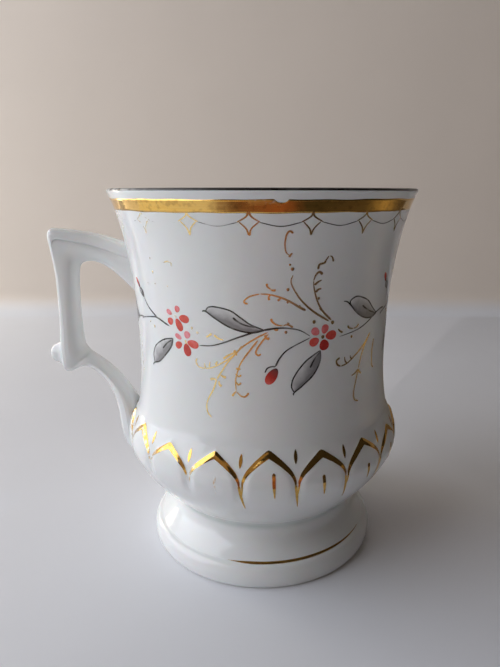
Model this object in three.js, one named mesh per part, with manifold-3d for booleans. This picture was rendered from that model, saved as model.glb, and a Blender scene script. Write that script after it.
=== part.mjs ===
// A porcelain mug on a pedestal foot: a waisted bowl with moulded petals, an angular handle and gilt lines.
// Millimetres, +Z up, standing on Z = 0. The handle points to -X and the painted front faces -Y.
import * as THREE from "three";
import { mergeVertices } from "three/addons/utils/BufferGeometryUtils.js";
import Module from "manifold-3d";

const wasm = await Module();
wasm.setup();

// Heights of the mug: the foot and the rises stand on each other, and the upper wall takes what is left.
const MUG_HEIGHT = 103.5; // table to the crest of the lip
const FOOT_HEIGHT = 15.0; // table to the top of the pedestal foot
const FOOT_SLIP = 0.3; // luting slip between the foot and the bowl
const BULGE_RISE = 18.9; // bowl's underside to its widest bulge
const SHOULDER_RISE = 8.8; // bulge to the crease above the petals
const WAIST_RISE = 16.4; // crease to the narrow waist
const LIP_RISE = 4.3; // start of the lip's flare to its outer edge

// Outer radii at those heights.
const NECK_RADIUS = 27.3;
const BULGE_RADIUS = 39.65; // ground between the petals
const SHOULDER_RADIUS = 36.9;
const WAIST_RADIUS = 35.5;
const FLARE_RADIUS = 40.2;
const RIM_RADIUS = 42.0;

// Slope of the profile, outward travel per unit of height, where it isn't upright.
const NECK_SLOPE = 1.05;
const SHOULDER_SLOPE_BELOW = -0.5;
const SHOULDER_SLOPE_ABOVE = -0.2;
const FLARE_SLOPE = 0.3;
const RIM_SLOPE = 0.42;

// Thicknesses of the bowl.
const WALL = 3.2;
const LIP_THICKNESS = 2.4;
const FLOOR_THICKNESS = 5.0;
const FLOOR_ROUND = 6.0; // height of the round corner between the floor and the wall

// Moulded petals round the bulge: pointed arches that stand proud of the ground.
const PETAL_COUNT = 18;
const PETAL_PHASE = 2.4; // degrees from the front, -Y, to the middle of the first petal
const PETAL_RELIEF = 0.45;
const PETAL_APEX_DROP = 1.0; // shoulder crease down to the point of the arch
const PETAL_ARCH = 8.0; // point of the arch down to the springing, where petals meet
const PETAL_FADE = 7.0; // springing down to where the petal melts into the bowl
const PETAL_EDGE = 3.0; // degrees over which the relief rises from a petal's border
const PETAL_ROUND = 2.2; // how round the sides of an arch are: 1 draws them straight

// Pedestal foot: a cove over a rounded plinth, open underneath.
const NECK_STEP = 0.4; // foot's top edge inside the bowl's edge, which leaves a crease
const COVE_RADIUS = 31.4; // foot of the cove
const PLINTH_HEIGHT = 6.2;
const PLINTH_FULLNESS = 34.2; // radius that the plinth's round edge is drawn towards
const BASE_RADIUS = 32.5;
const STANDING_RING = 4.5; // width of the flat ring that the mug stands on
const FOOT_WALL = 4.6; // width of the foot's top face

// Gilding and the painted lip line, inlaid by their own thickness.
const GILT_THICKNESS = 0.2;
const BAND_DROP = 1.7; // lip's outer edge down to the top of the gold band
const BAND_WIDTH = 2.65;
const LIP_LINE_WIDTH = 1.0; // painted line on the crest of the lip
const FOOT_LINE_WIDTH = 0.7;

// Handle, drawn in the plane Y = 0 by its reach from the mug's axis and its height.
const HANDLE_DROP = 10.6; // lip crest down to the top of the handle
const HANDLE_THICKNESS = 8.0;
const HANDLE_BEVEL = 1.0;
const FINGER_GAP = 18.1; // waist to the inside of the grip
const GRIP_WIDTH = 5.4;
const KNOB_RISE = 21.9; // bulge up to the middle of the knob under the grip
const HORN_OUT = 1.5; // top corner beyond the grip
const HORN_ROUND = 1.8;
const CORNER_ROUND = 2.7; // inner corners, between the grip and the arms
const ARM_FALL = 6.1; // how far the upper arm's top edge falls on its way to the wall
const ARM_CROWN = 1.1; // how far below its top that edge starts to fall
const ARM_DEPTH = 9.0; // depth of the upper arm at the grip
const ARM_ROOT = 21.0; // depth of the upper arm inside the wall
const ARM_SWEEP = 4.4; // level run of the upper arm's underside before it curves down
const KNOB_RADIUS = 3.4;
const KNOB_OUT = 0.9; // knob's middle beyond the grip
const SPUR_DROP = 5.5; // knob's middle down to the tip of the spur
const SPUR_LENGTH = 5.0; // width of the spur where it leaves the leg
const SPUR_DEPTH = 1.8; // tip of the spur below the leg's outside
const SPUR_TIP = 1.2;
const SPUR_INSET = 0.2; // spur's faces inside the grip's
const LEG_RISE = 1.2; // lower leg's inner corner above the knob's middle
const LEG_SWEEP = 5.6; // how far the leg runs in from the grip before it curves down
const LEG_BEND = 12.0; // how far above the bulge the leg comes upright
const LEG_LEAN = 4.0; // how far the leg's inside leans out where it leaves the shoulder
const LEG_PROUD = 3.9; // lower leg's outside beyond the bulge
const TAIL_DROP = 10.0; // bulge down to the end of the leg's tail
const TAIL_TAPER = 1.2; // how far the tail draws in
const TAIL_ROUND = 4.6;

// Luting slip between the handle and the bowl, with a clearance on both of its faces.
const HANDLE_SLIP = 0.6;
const SLIP_SPREAD = 0.8; // how far the slip is squeezed out round the handle
const JOINT_GAP = 0.3;

// Fineness of the facets.
const STEPS_PER_PETAL = 4;
const BULGE_ROWS = 7;
const SHOULDER_ROWS = 6;
const WAIST_ROWS = 4;
const UPPER_ROWS = 5;
const INSIDE_ROWS = 8;
const CURVE_STEPS = 5;
const KNOB_FACETS = 12;

// Heights and reaches that follow from the sizes above.
const BOWL_BASE = FOOT_HEIGHT + FOOT_SLIP;
const BULGE_Z = BOWL_BASE + BULGE_RISE;
const SHOULDER_Z = BULGE_Z + SHOULDER_RISE;
const WAIST_Z = SHOULDER_Z + WAIST_RISE;
const LIP_ROUND = (LIP_THICKNESS - LIP_LINE_WIDTH) / 2;
const LIP_EDGE_Z = MUG_HEIGHT - LIP_ROUND;
const FLARE_Z = LIP_EDGE_Z - LIP_RISE;
const FLOOR_Z = BOWL_BASE + FLOOR_THICKNESS;
const BAND_TOP = LIP_EDGE_Z - BAND_DROP;
const BAND_BOTTOM = BAND_TOP - BAND_WIDTH;
const GRIP_IN = WAIST_RADIUS + FINGER_GAP;
const GRIP_OUT = GRIP_IN + GRIP_WIDTH;
const HANDLE_TOP = MUG_HEIGHT - HANDLE_DROP;
const KNOB_Z = BULGE_Z + KNOB_RISE;
const GRIP_LENGTH = HANDLE_TOP - KNOB_Z;
const HANDLE_REACH = GRIP_OUT + KNOB_OUT + KNOB_RADIUS;
const AXIS_X = (HANDLE_REACH - RIM_RADIUS) / 2; // centres bowl and handle together on X = 0

// Finishes.
const porcelain = new THREE.MeshStandardMaterial({ color: 0xe8e9ec, roughness: 0.12, metalness: 0 });
const slip = new THREE.MeshStandardMaterial({ color: 0xdcdde0, roughness: 0.35, metalness: 0 });
const gilt = new THREE.MeshStandardMaterial({ color: 0xc8962e, roughness: 0.25, metalness: 1 });
const lipPaint = new THREE.MeshStandardMaterial({ color: 0x2a2622, roughness: 0.4, metalness: 0 });

const point = (radius, z) => new THREE.Vector2(radius, z);
const { lerp, smoothstep, degToRad, radToDeg, euclideanModulo } = THREE.MathUtils;

// Heights from low up to, but not including, high.
function steps(low, high, count) {
  return Array.from({ length: count }, (_, i) => lerp(low, high, i / count));
}

// The bowl's outer profile: each span has a radius and a slope at both of its ends.
const SPANS = [
  {
    low: BOWL_BASE,
    high: BULGE_Z,
    radii: [NECK_RADIUS, BULGE_RADIUS],
    slopes: [NECK_SLOPE, 0],
  },
  {
    low: BULGE_Z,
    high: SHOULDER_Z,
    radii: [BULGE_RADIUS, SHOULDER_RADIUS],
    slopes: [0, SHOULDER_SLOPE_BELOW],
  },
  {
    low: SHOULDER_Z,
    high: WAIST_Z,
    radii: [SHOULDER_RADIUS, WAIST_RADIUS],
    slopes: [SHOULDER_SLOPE_ABOVE, 0],
  },
  {
    low: WAIST_Z,
    high: FLARE_Z,
    radii: [WAIST_RADIUS, FLARE_RADIUS],
    slopes: [0, FLARE_SLOPE],
  },
  {
    low: FLARE_Z,
    high: LIP_EDGE_Z,
    radii: [FLARE_RADIUS, RIM_RADIUS],
    slopes: [FLARE_SLOPE, RIM_SLOPE],
  },
];

// Radius of the bowl's outside at a height, without the petals: a cubic through the span's ends.
function wallRadius(z) {
  const span = SPANS.find((s) => z <= s.high) ?? SPANS.at(-1);
  const length = span.high - span.low;
  const t = (z - span.low) / length;
  const blend = t * t * (3 - 2 * t);
  const leave = t * (1 - t) * (1 - t) * length * span.slopes[0];
  const arrive = t * t * (t - 1) * length * span.slopes[1];
  return lerp(span.radii[0], span.radii[1], blend) + leave + arrive;
}

// Radius of the bowl's inside: the wall thins from the waist to the lip.
function insideRadius(z) {
  const thinning = THREE.MathUtils.clamp((z - WAIST_Z) / (LIP_EDGE_Z - WAIST_Z), 0, 1);
  return wallRadius(z) - lerp(WALL, LIP_THICKNESS, thinning);
}

// How far a petal stands proud at an angle in degrees from the front and at a height.
function petalRelief(angle, z) {
  const pitch = 360 / PETAL_COUNT;
  const apex = SHOULDER_Z - PETAL_APEX_DROP;
  const springing = apex - PETAL_ARCH;
  const offset = Math.abs(euclideanModulo(angle - PETAL_PHASE + pitch / 2, pitch) - pitch / 2);
  const t = THREE.MathUtils.clamp((apex - z) / PETAL_ARCH, 0, 1);
  const halfWidth = (pitch / 2) * (1 - (1 - t) ** PETAL_ROUND);
  const inside = smoothstep(halfWidth - offset, 0, PETAL_EDGE);
  return PETAL_RELIEF * inside * smoothstep(z, springing - PETAL_FADE, springing);
}

// A solid of revolution about Z; every one starts at the same angle, so neighbours share their edges.
function turned(profile) {
  const geometry = new THREE.LatheGeometry(profile, PETAL_COUNT * STEPS_PER_PETAL, degToRad(PETAL_PHASE));
  return geometry.rotateX(Math.PI / 2);
}

// A ring of rectangular section that fills a seat between two points of a profile.
function inlay(low, high, inLow, inHigh) {
  return turned([inLow, low, high, inHigh, inLow.clone()]);
}

// Pushes the outside of a turned bowl out where the petals are.
function raisePetals(geometry) {
  const position = geometry.getAttribute("position");
  const vertex = new THREE.Vector3();
  for (let i = 0; i < position.count; i++) {
    vertex.fromBufferAttribute(position, i);
    const radius = Math.hypot(vertex.x, vertex.y);
    if (vertex.z < SHOULDER_Z && radius > wallRadius(vertex.z) - WALL / 2) {
      const angle = radToDeg(Math.atan2(vertex.x, -vertex.y));
      const scale = (radius + petalRelief(angle, vertex.z)) / radius;
      position.setXY(i, vertex.x * scale, vertex.y * scale);
    }
  }
  return geometry;
}

// Points of the bowl's outside from its base up to the gold band, moved out by a margin.
function outsideProfile(margin) {
  const heights = [
    ...steps(BOWL_BASE, BULGE_Z, BULGE_ROWS),
    ...steps(BULGE_Z, SHOULDER_Z, SHOULDER_ROWS),
    ...steps(SHOULDER_Z, WAIST_Z, WAIST_ROWS),
    ...steps(WAIST_Z, BAND_BOTTOM, UPPER_ROWS),
  ];
  return heights.map((z) => point(wallRadius(z) + margin, z));
}

// Seats of the inlaid lines: outer edge and floor of each groove.
const bandLow = point(wallRadius(BAND_BOTTOM), BAND_BOTTOM);
const bandHigh = point(wallRadius(BAND_TOP), BAND_TOP);
const bandSeatLow = point(bandLow.x - GILT_THICKNESS, BAND_BOTTOM);
const bandSeatHigh = point(bandHigh.x - GILT_THICKNESS, BAND_TOP);
const crestOuter = point(RIM_RADIUS - LIP_ROUND, MUG_HEIGHT);
const crestInner = point(crestOuter.x - LIP_LINE_WIDTH, MUG_HEIGHT);
const crestSeatOuter = point(crestOuter.x, MUG_HEIGHT - GILT_THICKNESS);
const crestSeatInner = point(crestInner.x, MUG_HEIGHT - GILT_THICKNESS);
const footLineLow = point(COVE_RADIUS, PLINTH_HEIGHT);
const footLineHigh = point(COVE_RADIUS - FOOT_LINE_WIDTH / 2, PLINTH_HEIGHT + FOOT_LINE_WIDTH);
const footSeatLow = point(footLineLow.x - GILT_THICKNESS, footLineLow.y);
const footSeatHigh = point(footLineHigh.x - GILT_THICKNESS, footLineHigh.y);

// The bowl: outside with the seats of band and lip line, lip, inside and floor.
function bowlGeometry() {
  const cornerTop = FLOOR_Z + FLOOR_ROUND;
  const corner = new THREE.QuadraticBezierCurve(
    point(insideRadius(cornerTop), cornerTop),
    point(insideRadius(FLOOR_Z), FLOOR_Z),
    point(insideRadius(FLOOR_Z) - FLOOR_ROUND, FLOOR_Z),
  );
  const inside = steps(LIP_EDGE_Z, cornerTop, INSIDE_ROWS).map((z) => point(insideRadius(z), z));
  const profile = [
    point(0, BOWL_BASE),
    ...outsideProfile(0),
    bandLow,
    bandSeatLow,
    bandSeatHigh,
    bandHigh,
    point(RIM_RADIUS, LIP_EDGE_Z),
    crestSeatOuter,
    crestSeatInner,
    ...inside,
    ...corner.getPoints(CURVE_STEPS),
    point(0, FLOOR_Z),
  ];
  return raisePetals(turned(profile));
}

// The bowl's outer shape as a full body, larger all round by a margin.
function bowlEnvelope(margin) {
  const profile = [
    point(0, BOWL_BASE - margin),
    ...outsideProfile(margin),
    point(bandLow.x + margin, BAND_BOTTOM),
    point(RIM_RADIUS + margin, MUG_HEIGHT + margin),
    point(0, MUG_HEIGHT + margin),
  ];
  return raisePetals(turned(profile));
}

// The hollow foot: plinth, cove with the seat of the gold line, top face, recess and standing ring.
function footGeometry() {
  const neck = NECK_RADIUS - NECK_STEP;
  const cove = new THREE.QuadraticBezierCurve(
    footLineHigh,
    point(neck, (footLineHigh.y + FOOT_HEIGHT) / 2),
    point(neck, FOOT_HEIGHT),
  );
  const plinth = new THREE.CubicBezierCurve(
    point(BASE_RADIUS, 0),
    point(PLINTH_FULLNESS, 0),
    point(PLINTH_FULLNESS, PLINTH_HEIGHT),
    footLineLow,
  );
  const recess = new THREE.QuadraticBezierCurve(
    point(neck - FOOT_WALL, FOOT_HEIGHT),
    point(neck - FOOT_WALL, FOOT_HEIGHT / 2),
    point(BASE_RADIUS - STANDING_RING, 0),
  );
  const profile = [
    ...plinth.getPoints(CURVE_STEPS),
    footSeatLow,
    footSeatHigh,
    ...cove.getPoints(CURVE_STEPS),
    ...recess.getPoints(CURVE_STEPS),
    point(BASE_RADIUS, 0),
  ];
  return turned(profile);
}

// The slip under the bowl, as wide as the foot's top face.
function footSlipGeometry() {
  const outer = NECK_RADIUS - NECK_STEP;
  const inner = outer - FOOT_WALL;
  return inlay(
    point(outer, FOOT_HEIGHT),
    point(outer, BOWL_BASE),
    point(inner, FOOT_HEIGHT),
    point(inner, BOWL_BASE),
  );
}

// Side view of the handle as a C that runs into the bowl at both ends.
function handleOutline() {
  const rootReach = WAIST_RADIUS - WALL;
  const hornReach = GRIP_OUT + HORN_OUT;
  const armUnder = HANDLE_TOP - ARM_DEPTH;
  const armRoot = HANDLE_TOP - ARM_ROOT;
  const cornerReach = GRIP_OUT - SPUR_LENGTH;
  const cornerZ = KNOB_Z - SPUR_DROP + SPUR_DEPTH;
  const legReach = BULGE_RADIUS + LEG_PROUD;
  const legCornerZ = KNOB_Z + LEG_RISE;
  const tailReach = legReach - TAIL_TAPER;
  const tailZ = BULGE_Z - TAIL_DROP;
  const outline = new THREE.Shape();
  // Top edge of the upper arm, out to the horn.
  outline.moveTo(-rootReach, HANDLE_TOP - ARM_FALL);
  outline.quadraticCurveTo(
    -(GRIP_IN - ARM_SWEEP), HANDLE_TOP - ARM_CROWN,
    -(hornReach - HORN_ROUND), HANDLE_TOP,
  );
  outline.quadraticCurveTo(-hornReach, HANDLE_TOP, -hornReach, HANDLE_TOP - HORN_ROUND);
  // Outside of the grip, down to the corner that carries the knob and the spur.
  outline.quadraticCurveTo(-GRIP_OUT, HANDLE_TOP - GRIP_LENGTH / 3, -GRIP_OUT, HANDLE_TOP - GRIP_LENGTH / 2);
  outline.lineTo(-GRIP_OUT, KNOB_Z);
  outline.quadraticCurveTo(-GRIP_OUT, cornerZ, -cornerReach, cornerZ);
  // Outside of the lower leg, down along the bulge to the tail.
  outline.bezierCurveTo(
    -(cornerReach - LEG_SWEEP), cornerZ - LEG_SWEEP / 2,
    -(legReach + TAIL_TAPER), BULGE_Z + LEG_BEND,
    -legReach, BULGE_Z,
  );
  outline.lineTo(-tailReach, tailZ + TAIL_ROUND);
  outline.quadraticCurveTo(-tailReach, tailZ, -(tailReach - TAIL_ROUND), tailZ);
  outline.lineTo(-NECK_RADIUS, tailZ);
  // Inside of the leg and of the grip.
  outline.lineTo(-WAIST_RADIUS, SHOULDER_Z - LEG_PROUD);
  outline.bezierCurveTo(
    -(WAIST_RADIUS + LEG_LEAN), SHOULDER_Z + LEG_PROUD,
    -(GRIP_IN - LEG_SWEEP), legCornerZ - LEG_SWEEP / 2,
    -(GRIP_IN - CORNER_ROUND / 3), legCornerZ,
  );
  outline.quadraticCurveTo(-GRIP_IN, legCornerZ, -GRIP_IN, legCornerZ + CORNER_ROUND);
  outline.lineTo(-GRIP_IN, armUnder - CORNER_ROUND);
  // Underside of the upper arm, back to the wall.
  outline.quadraticCurveTo(-GRIP_IN, armUnder, -(GRIP_IN - CORNER_ROUND), armUnder);
  outline.bezierCurveTo(
    -(GRIP_IN - CORNER_ROUND - ARM_SWEEP), armUnder,
    -(rootReach + 2 * ARM_SWEEP), (armUnder + armRoot) / 2,
    -rootReach, armRoot,
  );
  outline.closePath();
  return outline;
}

// The pointed spur under the corner of the grip.
function spurGeometry() {
  const outer = GRIP_OUT - SPUR_INSET;
  const tipZ = KNOB_Z - SPUR_DROP;
  const outline = new THREE.Shape();
  outline.moveTo(-outer, KNOB_Z);
  outline.lineTo(-outer, tipZ + SPUR_TIP);
  outline.quadraticCurveTo(-outer, tipZ, -(outer - SPUR_TIP), tipZ);
  outline.quadraticCurveTo(-(outer - SPUR_LENGTH / 2), tipZ + SPUR_DEPTH, -(outer - SPUR_LENGTH), KNOB_Z);
  outline.closePath();
  const depth = HANDLE_THICKNESS - 2 * HANDLE_BEVEL - 2 * SPUR_INSET;
  const geometry = new THREE.ExtrudeGeometry(outline, {
    depth,
    curveSegments: CURVE_STEPS,
    bevelEnabled: false,
  });
  return geometry.translate(0, 0, -depth / 2).rotateX(Math.PI / 2);
}

// The handle's outline as a bevelled plate in the plane Y = 0, larger all round by a spread.
function handlePlate(spread) {
  const depth = HANDLE_THICKNESS - 2 * HANDLE_BEVEL + 2 * spread;
  const geometry = new THREE.ExtrudeGeometry(handleOutline(), {
    depth,
    curveSegments: CURVE_STEPS,
    bevelThickness: HANDLE_BEVEL,
    bevelSize: HANDLE_BEVEL,
    bevelOffset: spread - HANDLE_BEVEL,
    bevelSegments: 1,
  });
  return geometry.translate(0, 0, -depth / 2).rotateX(Math.PI / 2);
}

// A closed geometry as a solid that can be joined and cut, and back again.
function toSolid(geometry) {
  const bare = geometry.clone();
  bare.deleteAttribute("normal");
  bare.deleteAttribute("uv");
  const merged = mergeVertices(bare);
  const mesh = new wasm.Mesh({
    numProp: 3,
    vertProperties: merged.getAttribute("position").array,
    triVerts: new Uint32Array(merged.index.array),
  });
  return new wasm.Manifold(mesh);
}

function toGeometry(solid) {
  const mesh = solid.getMesh();
  const geometry = new THREE.BufferGeometry();
  geometry.setAttribute("position", new THREE.BufferAttribute(mesh.vertProperties, 3));
  geometry.setIndex(new THREE.BufferAttribute(mesh.triVerts, 1));
  geometry.computeVertexNormals();
  return geometry;
}

// The handle with its knob and spur, cut back to leave room for the slip.
function handleGeometry() {
  const knob = new THREE.SphereGeometry(KNOB_RADIUS, KNOB_FACETS, KNOB_FACETS / 2);
  knob.translate(-(GRIP_OUT + KNOB_OUT), 0, KNOB_Z);
  const plate = toSolid(handlePlate(0));
  const room = toSolid(bowlEnvelope(HANDLE_SLIP + 2 * JOINT_GAP));
  return toGeometry(plate.add(toSolid(knob)).add(toSolid(spurGeometry())).subtract(room));
}

// The slip squeezed between the handle and the wall, above or below the waist.
function handleSlipGeometry(above) {
  const inner = toSolid(bowlEnvelope(JOINT_GAP));
  const layer = toSolid(bowlEnvelope(JOINT_GAP + HANDLE_SLIP)).subtract(inner);
  const half = new THREE.BoxGeometry(2 * HANDLE_REACH, 2 * HANDLE_REACH, MUG_HEIGHT);
  half.translate(0, 0, WAIST_Z + (above ? 1 : -1) * (MUG_HEIGHT / 2));
  return toGeometry(layer.intersect(toSolid(handlePlate(SLIP_SPREAD))).intersect(toSolid(half)));
}

const mug = new THREE.Group();
mug.name = "mug";
mug.position.x = AXIS_X;

function addPiece(name, geometry, material) {
  const mesh = new THREE.Mesh(geometry, material);
  mesh.name = name;
  mug.add(mesh);
}

addPiece("bowl", bowlGeometry(), porcelain);
addPiece("pedestal_foot", footGeometry(), porcelain);
addPiece("handle", handleGeometry(), porcelain);
addPiece("foot_slip_joint", footSlipGeometry(), slip);
addPiece("handle_upper_slip_joint", handleSlipGeometry(true), slip);
addPiece("handle_lower_slip_joint", handleSlipGeometry(false), slip);
addPiece("rim_gold_band", inlay(bandLow, bandHigh, bandSeatLow, bandSeatHigh), gilt);
addPiece("lip_line", inlay(crestSeatOuter, crestOuter, crestSeatInner, crestInner), lipPaint);
addPiece("foot_gold_line", inlay(footLineLow, footLineHigh, footSeatLow, footSeatHigh), gilt);

const model = new THREE.Group();
model.add(mug);

export default model;
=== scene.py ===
"""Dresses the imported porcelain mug: a glazed bowl, foot and handle, fired gold, and painted enamel.

Everything is in metres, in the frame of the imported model: the handle points to -X, the painted
front faces -Y, and the mug stands on Z = 0.
"""

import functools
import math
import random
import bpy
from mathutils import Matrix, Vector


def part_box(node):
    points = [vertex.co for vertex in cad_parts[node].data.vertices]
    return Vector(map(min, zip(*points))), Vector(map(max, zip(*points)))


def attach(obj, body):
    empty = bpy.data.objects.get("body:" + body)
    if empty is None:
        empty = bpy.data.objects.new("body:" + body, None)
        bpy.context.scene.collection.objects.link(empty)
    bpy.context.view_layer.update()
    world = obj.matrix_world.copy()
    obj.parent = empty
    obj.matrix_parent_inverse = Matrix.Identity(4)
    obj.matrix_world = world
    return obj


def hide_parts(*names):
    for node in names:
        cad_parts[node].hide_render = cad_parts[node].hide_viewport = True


bl_info = {
    "name": "Porcelain mug",
    "version": (1, 0, 0),
    "blender": (4, 5, 0),
    "location": "View3D > Sidebar > Mug",
    "description": "Glazed, gilded and painted pieces of a porcelain mug",
    "category": "Object",
}

import bmesh
import bpy
from bpy.props import FloatProperty, FloatVectorProperty, IntProperty, PointerProperty
from bpy.types import NodeSocket, Operator, Panel, PropertyGroup
from mathutils import Vector

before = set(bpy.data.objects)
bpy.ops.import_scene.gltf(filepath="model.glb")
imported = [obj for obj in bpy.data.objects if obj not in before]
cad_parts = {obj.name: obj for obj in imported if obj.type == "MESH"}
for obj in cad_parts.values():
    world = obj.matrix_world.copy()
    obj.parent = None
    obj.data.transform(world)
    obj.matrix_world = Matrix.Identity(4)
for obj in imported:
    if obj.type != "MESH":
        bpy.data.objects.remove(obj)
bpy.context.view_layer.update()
MM = 0.001

# Sizes and places that the frame gives. The bowl's rim leaves room for the enamel that lies over the lip.
BOWL_LOW, BOWL_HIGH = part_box("bowl")
BAND_LOW, BAND_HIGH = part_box("rim_gold_band")
LINE_LOW, LINE_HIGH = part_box("foot_gold_line")
FOOT_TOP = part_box("pedestal_foot")[1].z
MUG_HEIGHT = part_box("lip_line")[1].z
AXIS_X = (BOWL_LOW.x + BOWL_HIGH.x) / 2
BOWL_BASE = BOWL_LOW.z
LIP_ENAMEL = 0.04 * MM
RIM_RADIUS = (BOWL_HIGH.y - BOWL_LOW.y) / 2 - LIP_ENAMEL

# Radius and height of the two ends of the slope that the foot's gold line lies on, by plinth and by cove.
LINE_RADIUS = (LINE_HIGH.y - LINE_LOW.y) / 2
PLINTH_END = (LINE_RADIUS + 0.25 * MM, LINE_LOW.z + 0.1 * MM)
COVE_END = (LINE_RADIUS - (LINE_HIGH.z - LINE_LOW.z) / 2, LINE_HIGH.z)

# Slope of the bowl's outside, outward travel per unit of height, where it isn't upright.
NECK_SLOPE = 1.05
SHOULDER_SLOPE_BELOW = -0.5
SHOULDER_SLOPE_ABOVE = -0.2
FLARE_SLOPE = 0.3
RIM_SLOPE = 0.42

# Fineness of the meshes.
STEPS_PER_PETAL = 36
FOOT_STEPS = 180
FINE_ROW = 0.5 * MM
MIDDLE_ROW = 1.0 * MM
COARSE_ROW = 2.4 * MM
CURVE_STEPS = 8
ARC_STEPS = 14
KNOB_STEPS = 20
CARD_STEPS = 32
DAB_STEPS = 8
LEAF_STEPS = 24
BROAD_STEPS = 6
THIN_STEPS = 2
BROAD_STROKE = 0.7 * MM
WELD = 0.001 * MM

# The painted trail is drawn flat, across the wall and up from the table, at this radius of the wall. It
# repeats round the mug, each time turned by an angle and drifted up or down by so many millimetres.
TRAIL_RADIUS = 36.0 * MM
TRAIL_DRIFT = (0.0, 1.6, -2.5)
SPRAYS = tuple((i * math.tau / len(TRAIL_DRIFT), drift) for i, drift in enumerate(TRAIL_DRIFT))

# Seeds of the uneven hand that drew the swags and gilded the arches.
SWAG_SEED = 11
ARCH_SEED = 5

# How full the shoulders of the arches are, and the degrees over the lip that its dark line covers.
ARCH_FULLNESS = 2.2
LIP_LINE_DEGREES = range(6, 127, 6)

# Where hands have worn drawn gold away and where it is whole, from the mug's axis along X. The side of the
# handle, where they rub most, ends between these degrees from the front.
HAND_WORN = (-62 * MM, 12 * MM)
RUBBED_SIDE_END = (150, 120)

# How strongly the glaze and the enamel bend light, and how rough the painted enamel is.
GLAZE_IOR = 1.52
ENAMEL_IOR = 1.55
ENAMEL_ROUGHNESS = 0.22

# A colour mix has its factor at input 0, its colours at inputs 6 and 7 and its result at output 2. A map
# range lists its value, the two ends that it comes from and the two that it goes to; a soft one eases in
# and out.
COLOUR_MIX = {"output": 2, "data_type": "RGBA"}
SOFT_RANGE = {"interpolation_type": "SMOOTHSTEP"}


def linear(hex_colour):
    """A colour written as sRGB hex, turned to linear red, green, blue and alpha."""
    values = [int(hex_colour[i:i + 2], 16) / 255 for i in (0, 2, 4)]
    return (*[v / 12.92 if v <= 0.04045 else ((v + 0.055) / 1.055) ** 2.4 for v in values], 1.0)


def length(name, description, millimetres):
    """A length property whose default is given in millimetres."""
    default = millimetres * MM
    return FloatProperty(name=name, description=description, default=default, unit="LENGTH", precision=5)


def colour(name, description, hex_colour):
    """A colour property whose default is given as sRGB hex."""
    default = linear(hex_colour)
    return FloatVectorProperty(
        name=name, description=description, default=default, subtype="COLOR", size=4, min=0.0, max=1.0
    )


class MugSizes(PropertyGroup):
    """Sizes of the mug that the frame's boxes don't give."""

    neck_radius: length("Neck radius", "Outside of the bowl where it meets the foot", 27.3)
    bulge_height: length("Bulge height", "Table to the widest part of the bulge", 34.2)
    bulge_radius: length("Bulge radius", "Ground between the petals", 39.65)
    shoulder_height: length("Shoulder height", "Table to the crease above the petals", 43.0)
    shoulder_radius: length("Shoulder radius", "Outside at the crease above the petals", 36.9)
    waist_height: length("Waist height", "Table to the narrow waist", 59.4)
    waist_radius: length("Waist radius", "Outside at the waist", 35.5)
    flare_height: length("Flare height", "Table to the start of the lip's flare", 98.5)
    flare_radius: length("Flare radius", "Outside at the start of the flare", 40.2)
    lip_round: length("Lip round", "Height of the lip's rounded edge", 0.7)
    wall: length("Wall", "Thickness of the bowl's wall", 3.2)
    lip_thickness: length("Lip thickness", "Thickness of the wall at the lip", 2.4)
    floor_thickness: length("Floor thickness", "Thickness of the bowl's floor", 5.0)
    floor_round: length("Floor round", "Round corner between the floor and the wall", 6.0)
    petal_count: IntProperty(name="Petals", description="Petals round the bulge", default=18, min=3)
    petal_phase: FloatProperty(
        name="Petal phase",
        description="Angle from the front to the middle of the first petal",
        default=math.radians(2.4),
        subtype="ANGLE",
    )
    petal_relief: length("Petal relief", "How far a petal stands proud", 0.45)
    petal_apex: length("Petal point", "Table to the point of a petal's arch", 42.0)
    petal_arch: length("Petal arch", "Height of the arch, from its springing to its point", 8.0)
    petal_fade: length("Petal fade", "Springing down to where the petal melts into the bowl", 7.0)
    petal_edge: length("Petal edge", "Width over which the relief rises from a petal's border", 2.2)
    neck_step: length("Neck step", "Foot's top edge inside the bowl's edge", 0.4)
    neck_fillet: length("Neck fillet", "Height of the glaze that fills the crease of the neck", 2.4)
    foot_wall: length("Foot wall", "Thickness of the foot at its top", 4.6)
    base_radius: length("Base radius", "Outside of the ring that the mug stands on", 32.5)
    standing_ring: length("Standing ring", "Width of the ring that the mug stands on", 4.5)
    plinth_fullness: length("Plinth fullness", "Radius that the plinth's round edge is drawn towards", 34.2)
    handle_thickness: length("Handle thickness", "Handle from front to back", 8.0)
    gilt_thickness: length("Gilding", "How far the gold stands proud of the glaze", 0.03)
    enamel_thickness: length("Enamel", "How far the painted enamel stands proud of the glaze", 0.04)
    stem_width: length("Stem width", "Painted stems and outlines", 0.34)


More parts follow.
